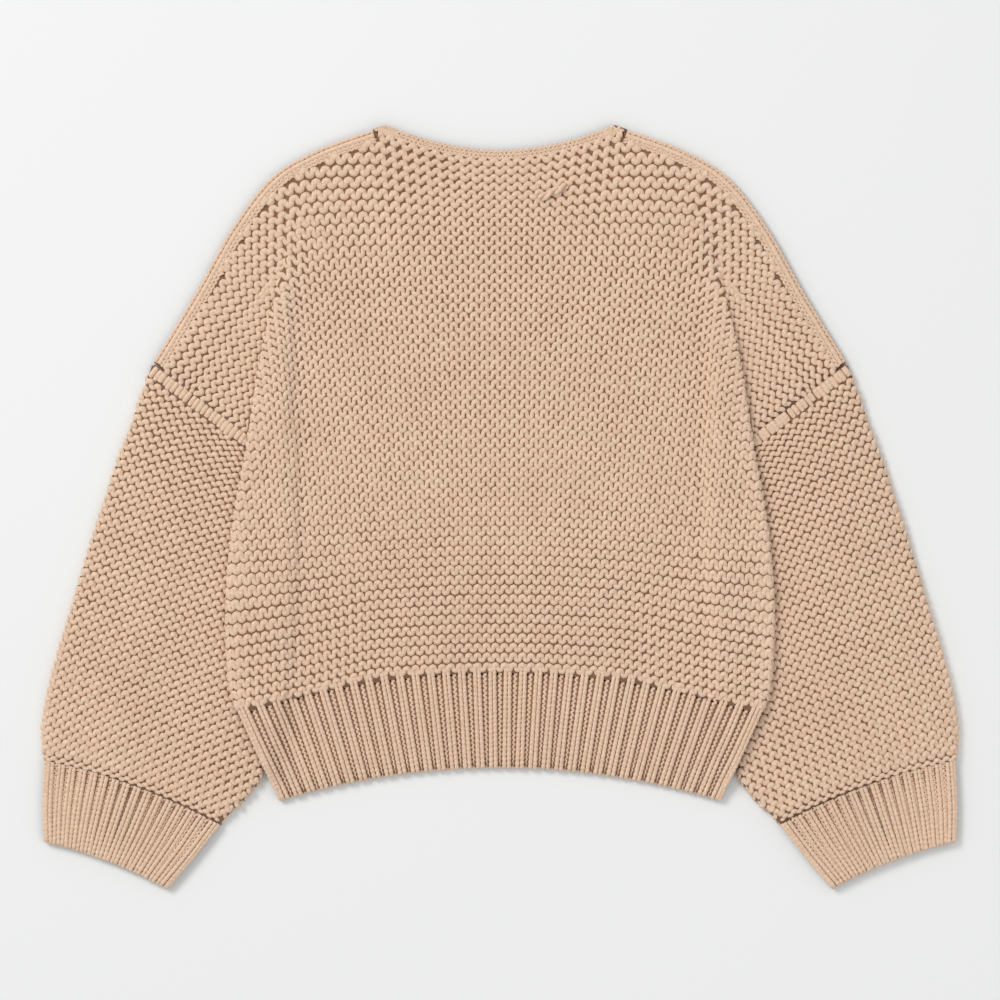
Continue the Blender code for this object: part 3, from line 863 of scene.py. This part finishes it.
# %% Lines across a sleeve
SLEEVE_COURSES = 42
EASED_TILT = math.radians(19)
EASE = 95.0                      # millimetres down the arm in which the tilt eases
SEAM_BAND = 10.5                 # depth of the crosswise stitches under the armhole seam
CUFF_FAN = 0.34                  # how much the courses spread at the cuff
SLEEVE_WIDE = 165.0
SLEEVE_STITCH = 8.85
SLEEVE_FINE = np.linspace(0, len(SLEEVE) - 1, 300)
OUTER_OUT = glide(SLEEVE, "out_out", SLEEVE_FINE)
OUTER_DROP = glide(SLEEVE, "out_drop", SLEEVE_FINE)
INNER_OUT = glide(SLEEVE, "in_out", SLEEVE_FINE)
OUTER_LENGTH = np.concatenate(([0], np.cumsum(np.hypot(np.diff(OUTER_OUT), np.diff(OUTER_DROP)))))
ARM_TILT = math.atan2(SLEEVE[0].in_drop - SLEEVE[0].out_drop, SLEEVE[0].out_out - SLEEVE[0].in_out)


def sleeve_reach(v):
    """How far down the outer fold sleeve course v begins."""
    return SEAM_BAND + (v + 0.5) / SLEEVE_COURSES * (OUTER_LENGTH[-1] - SEAM_BAND)


def sleeve_drop(v, inward):
    """Drop of sleeve course v at a distance inward from its outer end."""
    reach = sleeve_reach(v)
    drop = np.interp(reach, OUTER_LENGTH, OUTER_DROP)
    tilt = math.tan(EASED_TILT + (ARM_TILT - EASED_TILT) * math.exp(-reach / EASE))
    fan = CUFF_FAN * float(smooth((drop - 400) / 190))
    return drop + tilt * inward + fan * (inward ** 2 / (2 * SLEEVE_WIDE) - inward / 2)


def column_starts(pitch):
    """Stitch numbers at the outer ends of the sleeve's courses.  They shift from course to course
    so that the stitches stand in columns square to the courses."""
    courses = np.arange(SLEEVE_COURSES + 1)
    reach = sleeve_reach(courses)
    out, drop = np.interp(reach, OUTER_LENGTH, OUTER_OUT), np.interp(reach, OUTER_LENGTH, OUTER_DROP)
    tilt = np.arctan([float(sleeve_drop(v, 1.0) - sleeve_drop(v, 0.0)) for v in courses])[:-1]
    shift = np.diff(drop) * np.sin(tilt) - np.diff(out) * np.cos(tilt)
    return np.concatenate(([0], np.cumsum(shift))) / pitch


COLUMN_STARTS = column_starts(SLEEVE_STITCH)
print("the sleeve's columns shift by", round(float(COLUMN_STARTS[-1]), 1), "stitches from top to cuff")

# %% Courses of the sleeves
INNER_LOWER = 75                 # how much lower a course ends than it starts, for a first guess
FIRST_INNER, INNER_ROUNDS = 262.0, 8  # a guess at where it ends, and its rounds
SIDE_END, HEM_END = (549, 236), (600, 190)  # (drop, out) of the body's edge beside the hem
UNDER_BODY = 9                   # how far a course runs in under the body


def sleeve_course(side, v, wrap=165):
    """Course v of a sleeve, from its lower side round the outer fold to the inner one."""
    node = "sleeve_left" if side < 0 else "sleeve_right"
    outer = float(np.interp(sleeve_reach(v), OUTER_LENGTH, OUTER_OUT))
    rim = outer - RADIUS
    inner_end = FIRST_INNER
    for _ in range(INNER_ROUNDS):
        inner_end = float(np.interp(sleeve_drop(v, outer - inner_end), OUTER_DROP + INNER_LOWER, INNER_OUT))
    inner_drop = float(sleeve_drop(v, outer - inner_end))
    inner_end = float(np.interp(inner_drop, [r.in_drop for r in SLEEVE], [r.in_out for r in SLEEVE]))
    turns = np.radians(np.arange(wrap, -1, -TURN_STEP))
    level = np.arange(rim - STEP, inner_end + RADIUS, -STEP)
    back_turns = np.radians(np.arange(0, wrap + 1, TURN_STEP))
    inner_turn = inner_end + RADIUS - RADIUS * np.sin(back_turns)
    out = np.concatenate((rim + RADIUS * np.sin(turns), level, inner_turn))
    tilt = np.concatenate((turns, np.zeros(len(level)), -back_turns))
    drop = sleeve_drop(v, outer - out)
    beside_hem = np.interp(drop, (SIDE_END[0], HEM_END[0]), (SIDE_END[1], HEM_END[1]))
    keep = out > np.where(drop < SIDE_END[0], edge_out(drop) - UNDER_BODY, beside_hem)
    out, tilt, drop = out[keep], tilt[keep], drop[keep]
    height = face_height(node, side * out, drop)
    top = np.interp(out, out[tilt == 0][::-1], height[tilt == 0][::-1])
    height = np.where(tilt == 0, height, top - RADIUS * (1 - np.cos(tilt)))
    height = np.where(height < 0, 0.0, height)
    path = at(side * out, drop, height)
    normal = np.stack([side * np.sin(tilt), np.zeros(len(tilt)), np.cos(tilt)], axis=1)
    gap = sleeve_drop(v + 1, outer - out) - drop
    slope = sleeve_drop(v, outer - out + 1) - drop
    spacing = gap / np.sqrt(1 + slope ** 2)
    order = slice(None, None, side * -1)
    start = COLUMN_STARTS[v] if side < 0 else -COLUMN_STARTS[v] - run_length(path)[-1] / SLEEVE_STITCH
    return course_on(path[order], normal[order], spacing[order], SLEEVE_STITCH, start)


sleeve_stitches = {}
for word, side in WORDS:
    ridges = [garter_ridge(sleeve_course(side, v), SLEEVE_LOOK) for v in range(SLEEVE_COURSES)]
    sleeve_stitches[word] = [lay_strands("sleeve_stitches_" + word, ridges)]

# %% [markdown]
# ## Seams of the shoulders and armholes
#
# A strip of slipped stitches finishes the shoulder's edge: small beads outside, a smooth
# cord, then small beads again.  At the armhole a band of short crosswise stitches lies below a
# thin dark line where the two panels meet, a strand coloured as painted shade.  Chains of small
# loops could be modelled link by link, but at this size a cord that swings and swells a little
# reads the same.

# %% Cords along an edge
EDGE_STEP = 1.5                  # between the points of an edge
BEAD, CORD_UNEVEN = 0.13, 0.03   # how much a beaded cord swells, and any cord's unevenness


def even_points(points):
    """A line's points at even distances."""
    length = run_length(points)
    return resample(points, length, np.arange(0, length[-1], EDGE_STEP))


def inset(points, distance):
    """A line beside a line of points, to the right of its direction when distance is positive."""
    heading = unit_heading(points)
    return points + distance * np.stack([-heading[:, 1], heading[:, 0]], axis=1)


def edge_cord(node, side, line, half, swing, pitch, sunk=0.6):
    """A cord along a line of (out, drop) points, straight or with small beads."""
    line = even_points(line)
    height = face_height(node, side * line[:, 0], line[:, 1])
    height = known_heights(height, height != MISS)
    length = run_length(line)
    wanted = np.arange(0, length[-1], pitch / 5)
    turn = 2 * math.pi * wanted / pitch
    flat = resample(inset(line, 1.0) - line, length, wanted)
    spot = resample(line, length, wanted) + flat * (swing * np.sin(turn))[:, None]
    lift = np.interp(wanted, length, height) - sunk
    path = at(side * spot[:, 0], spot[:, 1], lift)
    beads = 1 + BEAD * np.cos(2 * turn) * (swing > 0) + rng.normal(0, CORD_UNEVEN, len(wanted))
    normal = np.tile(UP, (len(wanted), 1))
    return Strand(path, normal, half * beads, half * beads)


print("beaded cords swell by", BEAD, "of their size")

# %% The shoulder strip
StripCord = namedtuple("StripCord", "inset half swing pitch sunk")
STRIP_CORDS = (
    StripCord(1.3, 1.5, 0.7, 5.0, 0.6),
    StripCord(5.2, 2.5, 0.0, 5.0, 1.5),
    StripCord(8.6, 1.5, 0.8, 4.6, 0.6),
    StripCord(11.2, 1.3, 0.7, 4.6, 0.6),
)


def shoulder_strip(side):
    """Cords side by side along a shoulder's edge."""
    cords = []
    for cord in STRIP_CORDS:
        line = inset(EDGE_POINTS, cord.inset)
        cords.append(edge_cord("back", side, line, cord.half, cord.swing, cord.pitch, cord.sunk))
    return cords


print(len(STRIP_CORDS), "cords on a shoulder strip")

# %% The armhole band
SLEEVE_TIP = np.array((SLEEVE[0].out_out, SLEEVE[0].out_drop)) - ALONG_SEAM * 2
SLEEVE_FOLD = ARM_FOLD - ALONG_SEAM * 6  # a little way in under the body's fold
DOWN_SLEEVE = np.array((-ALONG_SEAM[1], ALONG_SEAM[0]))
FIRST_BRICK, BRICK_PITCH = 3.0, 4.9  # along the seam
BRICK_START, BRICK_PAST = 1.6, 2.0   # below the seam, and beyond the band's depth
BRICK_HALF, BRICK_WAVE, WAVE_LENGTH = 2.8, 0.25, 13.0
BRICK_SHAPE = np.array((0.75, 1.0, 1.02, 1.0, 0.95, 0.7))  # its width from end to end
LONGER, ASIDE, FATTER = 0.9, 0.45, 0.22  # unevenness of the bricks


def armhole_bricks(side):
    """Short fat strands side by side along the armhole seam."""
    bricks = []
    points = len(BRICK_SHAPE)
    for place in np.arange(FIRST_BRICK, np.linalg.norm(SLEEVE_TIP - SLEEVE_FOLD), BRICK_PITCH):
        middle = SLEEVE_FOLD + ALONG_SEAM * place
        end = SEAM_BAND + BRICK_PAST + rng.normal(0, LONGER)
        spots = middle + DOWN_SLEEVE * np.linspace(BRICK_START, end, points)[:, None]
        spots += ALONG_SEAM * rng.normal(0, ASIDE)
        fat = BRICK_HALF + BRICK_WAVE * math.sin(place / WAVE_LENGTH) + rng.normal(0, FATTER)
        shape = BRICK_SHAPE * fat
        path = at(side * spots[:, 0], spots[:, 1], np.full(points, FACE - 1.0))
        bricks.append(Strand(path, np.tile(UP, (points, 1)), shape, shape * 0.8))
    return bricks


def flat_strand(points, side, height, half_width, half_height=0.8):
    """A low strand along a line of (out, drop) points, for the painted shade inside a seam."""
    count = len(points)
    path = at(side * points[:, 0], points[:, 1], np.full(count, height))
    return Strand(path, np.tile(UP, (count, 1)), np.full(count, half_width), np.full(count, half_height))


for word, side in WORDS:
    back_stitches.append(lay_strands("shoulder_strip_" + word, shoulder_strip(side)))
    bricks = armhole_bricks(side)
    seam = np.stack([SLEEVE_FOLD, SLEEVE_TIP - ALONG_SEAM])
    # a strip of the dark cloth in the seam: a painted shadow line where the panels meet
    dark = flat_strand(seam, side, FACE - 1.7, 1.5)
    sleeve_stitches[word].append(lay_strands("armhole_band_" + word, bricks))
    sleeve_stitches[word].append(lay_strands("armhole_seam_" + word, [dark], material=painted_shade_cloth))

# %% [markdown]
# ## The neck edging
#
# A narrow band of small slipped stitches finishes the neck.  Its upper edge is beaded.  A
# single wide cord would be quicker, but three cords of different swing read as a band.  At the
# shoulders the band turns over to the front, and its fold shows as short slanting lines.

# %% Neck cords
NeckCord = namedtuple("NeckCord", "across half swing pitch")
NECK_CORDS = (                   # from the edge, where across is 0, to the seam
    NeckCord(0.16, 1.5, 0.8, 4.6),
    NeckCord(0.47, 1.3, 0.9, 3.8),
    NeckCord(0.78, 1.4, 0.8, 4.4),
)
SEAM_ENDS = 4                    # points of the neck seam left out at each end of its dark strand
share = np.linspace(-1, 1, 90)
bow = 1 - abs(share) ** NECK_BEND
neck_edge = np.stack([NECK_HALF * share, NECK_DROP * bow], axis=1)
neck_seam = np.stack([NECK_END * share, mix(SHOULDER[0].drop, BACK[0].centre, bow)], axis=1)
neck_cords = []
for cord in NECK_CORDS:
    line = mix(neck_edge, neck_seam, cord.across)
    neck_cords.append(edge_cord("neck_band_back", 1, line, cord.half, cord.swing, cord.pitch))
neck_stitches = lay_strands("neck_stitches", neck_cords)
# a strip of the dark cloth along the neck seam: a painted shadow in the seam
dark = flat_strand(neck_seam[SEAM_ENDS:-SEAM_ENDS], 1, FACE - 2.2, 2.2)
back_stitches.append(lay_strands("neck_seam", [dark], material=painted_shade_cloth))

# %% The fold at the neck's corners
CORNER_CORDS = 6
CORNER_OUT, CORNER_GAP = 112.0, 2.5    # of the outermost cord, and inwards to the next
CORNER_DROP, CORNER_FALL = 2.4, 0.4
CORNER_TILT = math.radians(50)
CORNER_LENGTH = 13.0
CORNER_HALF = 1.2
CORNER_POINTS = 8


def corner_cords(side):
    """Short slanting cords at one corner of the neck."""
    along = np.linspace(0, 1, CORNER_POINTS)
    way = (-math.cos(CORNER_TILT), math.sin(CORNER_TILT))
    cords = []
    for k in range(CORNER_CORDS):
        start = np.array((CORNER_OUT - CORNER_GAP * k, CORNER_DROP + CORNER_FALL * k))
        run = start + CORNER_LENGTH * along[:, None] * way
        height = FACE + 0.1 - 0.5 * along[::-1]
        half = CORNER_HALF * np.sin(np.linspace(0.5, math.pi - 0.3, CORNER_POINTS))
        path = at(side * run[:, 0], run[:, 1], height)
        cords.append(Strand(path, np.tile(UP, (CORNER_POINTS, 1)), half, half))
    return cords


neck_corners = [lay_strands("neck_corner_" + word, corner_cords(side)) for word, side in WORDS]

# %% [markdown]
# ## A knot of yarn
#
# Below the neck on the right, two ends of yarn are twisted round each other and lie on the
# stitches.  One lumpy tube would look like a worm, so each end is a helix of its own, and the
# two are half a turn apart.

# %% Twisted ends
TWIST_START, TWIST_END = np.array((35.5, 69.5)), np.array((63.0, 56.0))
TWIST_RADIUS = 1.9
TWIST_TURN = 24.0                # length of one turn
TWIST_HALF = 2.1                 # half the thickness of an end
TWIST_LIFT = 1.6                 # of the helix's middle above the cloth
TWIST_POINTS = 60
along = np.linspace(0, 1, TWIST_POINTS)
line = mix(TWIST_START, TWIST_END, along[:, None])
side_way = np.array((TWIST_END[1] - TWIST_START[1], TWIST_START[0] - TWIST_END[0]))
side_way /= np.linalg.norm(side_way)
turned = 2 * math.pi * along * np.linalg.norm(TWIST_END - TWIST_START) / TWIST_TURN
twists = []
for half_turn in (0.0, math.pi):
    spot = line + side_way * (TWIST_RADIUS * np.sin(turned + half_turn))[:, None]
    ground = face_height("back", line[:, 0], line[:, 1]) + TWIST_LIFT
    lift = ground + TWIST_RADIUS * np.cos(turned + half_turn)
    thick = TWIST_HALF * np.minimum(1, np.sqrt(np.sin(math.pi * along) * 3 + 0.02))
    twists.append(Strand(at(spot[:, 0], spot[:, 1], lift), np.tile(UP, (TWIST_POINTS, 1)), thick, thick))
back_stitches.append(lay_strands("yarn_ends", twists, faces=8))

# %% [markdown]
# ## Ribs of the hem and cuffs
#
# In a two-by-two rib, a pair of plain columns stands up and a pair of purled columns sinks
# between.  Every small V of a plain column could be modelled, as in a close-up, but from here
# a cord that swells at each row is enough.  Purled columns show as small zigzag bumps in the
# dark of the valley.

# %% Cords of a rib
ROW = 4.4                        # height of a row of rib
COLUMN = 1.9                     # half width of a plain column
END_TURN = 2.2                   # radius by which a column turns over the cast-off edge
RIM_SHARE = 0.0045               # how far across lies the column along a side
PAIR_TOP, PAIR_END = 0.98, 1.12  # half the distance between a pair, in columns' half widths
GROWTH = 1.1                     # of a plain column, from its top to its end
PLAIN_SUNK = 1.1                 # how far a plain column's middle lies below the panel's face
PURL_HALF, PURL_SWAY = (1.4, 1.0), (1.55, 0.7)  # at its top and at its end
ROW_UNEVEN = 0.02


def rib_cord(path, normal, half, sway=(0.0, 0.0), bead=0.14):
    """A cord down a rib.  'half' and 'sway', its swing from side to side for purl bumps, are
    given at its top and at its end."""
    length = run_length(path)
    wanted = np.arange(0, length[-1], ROW / (6 if sway[0] else 4))
    spots = resample(path, length, wanted)
    normals = resample(normal, length, wanted)
    swell = 1 + bead * np.cos(2 * math.pi * wanted / ROW + rng.uniform(0, 6))
    swell = swell + rng.normal(0, ROW_UNEVEN, len(wanted))
    sideways = np.cross(normals, np.gradient(spots, axis=0))
    sideways /= np.linalg.norm(sideways, axis=1, keepdims=True)
    swing = np.interp(wanted, (0, length[-1]), sway) * np.sin(2 * math.pi * wanted / ROW)
    spots = spots + sideways * swing[:, None]
    width = np.interp(wanted, (0, length[-1]), half)
    return Strand(spots, normals, width * swell, width * swell * 0.95)


def turned_over(out, drop, height):
    """A rib's path with its last stretch turned down over the edge."""
    path = at(out, drop, height)
    heading = path[-1] - path[-2]
    heading[2] = 0
    heading /= np.linalg.norm(heading)
    turns = np.radians(np.arange(TURN_STEP, 121, TURN_STEP))[:, None]
    start = path[-1] - heading * END_TURN
    start[2] = path[-1][2]
    bend = start + heading * END_TURN * np.sin(turns) - UP * END_TURN * (1 - np.cos(turns))
    whole = np.concatenate((path[:-2], bend))
    normal = np.concatenate((np.tile(UP, (len(path) - 2, 1)), heading * np.sin(turns) + UP * np.cos(turns)))
    return whole, normal


print("a plain column is", 2 * COLUMN, "mm wide")


# %% A ribbed piece
def rib_set(node, point, ribs, period, t, valley):
    """Plain and purled cords of a ribbed piece.  point(share, t) covers share 0 to 1, and
    'valley' is how far the purled cords' middle lies below the panel's face."""
    plain, purled = [], []
    for k in range(ribs):
        for offset in (-1, 1):
            apart = mix(COLUMN * PAIR_TOP, COLUMN * PAIR_END, t) / period(t)
            plain.append(("plain", point((k + 0.5 + offset * apart) / ribs, t)))
    for share in (RIM_SHARE, 1 - RIM_SHARE):
        plain.append(("plain", point(np.full_like(t, share), t)))
    for k in range(1, ribs):
        purled.append(("purled", point(np.full_like(t, k / ribs), t)))
    cords = []
    for kind, (out, drop) in plain + purled:
        height = face_height(node, out, drop)
        known = height != MISS
        if known.sum() < 3:
            continue
        height = known_heights(height, known)
        if kind == "plain":
            path, normal = turned_over(out, drop, height - PLAIN_SUNK)
            cords.append(rib_cord(path, normal, (COLUMN, COLUMN * GROWTH)))
        else:
            path, normal = turned_over(out, drop, height - valley)
            cords.append(rib_cord(path, normal, PURL_HALF, sway=PURL_SWAY, bead=0.0))
    return cords


print("rib_set lays the plain cords first, then the purled ones")

# %% The hem
HEM_FIRST = -0.11                # the cords start this share of the rib's depth above its seam
HEM_VALLEY = 1.4


def hem_point(share, t):
    """A point of the back hem: share runs from -1 to 1 and t from the rib seam to the edge."""
    wide = mix(BACK[-1].out, HEM_HALF, t)
    centre = mix(BACK[-1].centre, HEM_DROP, t)
    edge = mix(BACK[-1].edge, HEM_CORNER, t)
    return wide * share, mix(centre, edge, share ** 2)


hem_cords = rib_set("hem_rib_back", lambda share, t: hem_point(2 * share - 1, t), HEM_RIBS,
                    lambda t: 2 * mix(BACK[-1].out, HEM_HALF, t) / HEM_RIBS,
                    np.linspace(HEM_FIRST, 1.0, 20), HEM_VALLEY)
hem_ribs = lay_strands("hem_ribs", hem_cords)

# %% The cuffs
CUFF_FIRST = -0.13
CUFF_VALLEY = 2.1
CUFF_RIM = 1.2                   # how far the ribs stay inside the cuff's folds


def cuff_point(side, share, t):
    """A point of a cuff: share runs from its inner fold to its outer one."""
    row = t * (len(CUFF) - 1)
    inner = np.stack([glide(CUFF, "in_out", row), glide(CUFF, "in_drop", row)], axis=-1)
    outer = np.stack([glide(CUFF, "out_out", row), glide(CUFF, "out_drop", row)], axis=-1)
    reach = np.linalg.norm(outer - inner, axis=-1, keepdims=True)
    spot = inner + (outer - inner) / reach * (CUFF_RIM + (reach - 2 * CUFF_RIM) * share[:, None])
    return side * spot[:, 0], spot[:, 1] - glide(CUFF, "bow", row) * 4 * share * (1 - share)


cuff_ribs = {}
cuff_widths = [math.hypot(r.out_out - r.in_out, r.out_drop - r.in_drop) for r in CUFF]
for word, side in WORDS:
    cords = rib_set("cuff_" + word, lambda share, t: cuff_point(side, share, t), CUFF_RIBS,
                    lambda t: np.interp(t, (0, 0.5, 1), cuff_widths) / CUFF_RIBS,
                    np.linspace(CUFF_FIRST, 1, 18), CUFF_VALLEY)
    cuff_ribs[word] = lay_strands("cuff_ribs_" + word, cords)

# %% [markdown]
# ## The underside
#
# Turned over, the garment shows its fronts.  They could carry the same fine strands as the
# back, but the underside rests on the table, so coarser strands are enough.  Their courses are
# nearly level, and a ray from below finds where each one meets the panel.

# %% Courses of the underside
UNDER_STEP = 4.0                 # between the points of a line
UNDER_STITCH = 9.1
UNDER_LIFT = 0.35                # keeps the strands just clear of the table
SLEEVE_UNDER, BAND_UNDER = 6.0, 12.0  # highest lower faces that can be seen from below


def line_below(node, x, drop, highest):
    """A line of points on a panel's lower face, where that is lower than 'highest'."""
    height = face_height(node, x, drop, below=True)
    good = (height != MISS) & (height < highest)
    if good.sum() < 4:
        return None
    known = np.flatnonzero(good)
    run = slice(known[0], known[-1] + 1)
    return at(x[run], drop[run], known_heights(height, good)[run])


def under_courses(node, rows, line):
    """Strands on a panel's lower face.  line(v) gives the (x, drop) points of course v."""
    strands = []
    for v in rows:
        x, drop = line(v)
        path = line_below(node, x, drop, SLEEVE_UNDER)
        if path is None:
            continue
        normal = np.tile(DOWN, (len(path), 1))
        course = course_on(path, normal, np.full(len(path), RIDGE), UNDER_STITCH, flip=-1)
        strand = garter_ridge(course, UNDER, steps=6)
        strands.append(strand._replace(path=strand.path + UP * UNDER_LIFT))
    return strands


# %% The undersides of the fronts and sleeves
FRONT_COURSES = 60
FRONT_TOP, FRONT_SLOPE = 18, 0.1  # drop of the first course at the centre line, and its slope
FRONT_IN, FRONT_OUT = 30.0, 262.0
SLEEVE_REACH = 240.0


def front_line(side, v):
    """Points of course v across a front."""
    x = np.arange(FRONT_IN, FRONT_OUT, UNDER_STEP) * side
    return x[::side], (FRONT_TOP + RIDGE * v + FRONT_SLOPE * abs(x))[::side]


def sleeve_line(side, v):
    """Points of course v across a sleeve's lower side."""
    inward = np.arange(0.0, SLEEVE_REACH, UNDER_STEP)
    outer = np.interp(v / SLEEVE_COURSES * OUTER_LENGTH[-1], OUTER_LENGTH, OUTER_OUT)
    return (side * (outer - inward))[::-side], sleeve_drop(v, inward)[::-side]


front_stitches = {}
for word, side in WORDS:
    strands = under_courses("front_" + word, range(FRONT_COURSES), lambda v: front_line(side, v))
    front_stitches[word] = lay_strands("front_stitches_" + word, strands, faces=2)
    strands = under_courses("sleeve_" + word, range(SLEEVE_COURSES), lambda v: sleeve_line(side, v))
    sleeve_stitches[word].append(lay_strands("sleeve_stitches_under_" + word, strands, faces=2))


# %% Bands and ribs seen from below
PAIR = 0.19                      # half the distance between a rib's columns, as a share of a rib
FRONT_NECK_SEAM, FRONT_NECK_EDGE = 100.0, 95.0  # depths of the front neck
BAND_CORDS, BAND_FIRST, BAND_GAP = 6, 2.5, 4.6
BAND_TOP, BAND_END = 90.0, 630.0
HIDDEN_RIBS = 2                  # ribs of the hem next to the centre that the front band covers
DOWN_POINTS = 24


def under_cords(node, lines, half):
    """Cords along lines of (x, drop) on a panel's lower face."""
    cords = []
    for x, drop in lines:
        path = line_below(node, x, drop, BAND_UNDER)
        if path is not None:
            normal = np.tile(DOWN, (len(path), 1))
            cords.append(rib_cord(path + UP * UNDER_LIFT, normal, (half, half)))
    return cords


def front_neck_line(side, across):
    """A line along the front neck, from the seam where across is 0 to the edge where it is 1."""
    angle = np.linspace(0.02, math.pi / 2, 50)
    half = mix(NECK_END, NECK_HALF, across)
    top = mix(SHOULDER[0].drop, 0.0, across)
    depth = mix(FRONT_NECK_SEAM, FRONT_NECK_EDGE, across)
    return side * half * np.sin(angle), top + depth * np.cos(angle)


down = np.linspace(0.02, 0.98, DOWN_POINTS)
ones = np.ones(DOWN_POINTS)
drops = np.arange(BAND_TOP, BAND_END, UNDER_STEP)
under_ribs = {}
for word, side in WORDS:
    bands = [(np.full_like(drops, side * (BAND_FIRST + BAND_GAP * k)), drops) for k in range(BAND_CORDS)]
    hems = [hem_point(side * (k + 0.5 + offset) / (HEM_RIBS / 2) * ones, down)
            for k in range(HIDDEN_RIBS, HEM_RIBS // 2) for offset in (-PAIR, PAIR)]
    cuffs = [cuff_point(side, (k + 0.5 + offset) / CUFF_RIBS * ones, down)
             for k in range(CUFF_RIBS) for offset in (-PAIR, PAIR)]
    necks = [front_neck_line(side, across) for across in (0.2, 0.55, 0.9)]
    for node, lines, half in (("front_band_", bands, 2.4), ("hem_rib_front_", hems, 2.3),
                              ("cuff_", cuffs, 2.3), ("neck_band_front_", necks, 1.8)):
        cords = under_cords(node + word, lines, half)
        under_ribs[node + word] = lay_strands(node + "under_" + word, cords, faces=2)

# %% [markdown]
# ## The strands of each wall
#
# Each wall is a flat-laid sheet.  The strands are not cloth by themselves: they belong to the
# wall they stand on, so each is listed under its wall.

# %% Strands listed by the wall they stand on
STANDING = {
    "back": back_stitches,
    "neck_band_back": [neck_stitches] + neck_corners,
    "hem_rib_back": [hem_ribs],
}
for word, _ in WORDS:
    STANDING["sleeve_" + word] = sleeve_stitches[word]
    STANDING["cuff_" + word] = [cuff_ribs[word]]
    STANDING["front_" + word] = [front_stitches[word]]
for node, cords in under_ribs.items():
    STANDING.setdefault(node, []).append(cords)
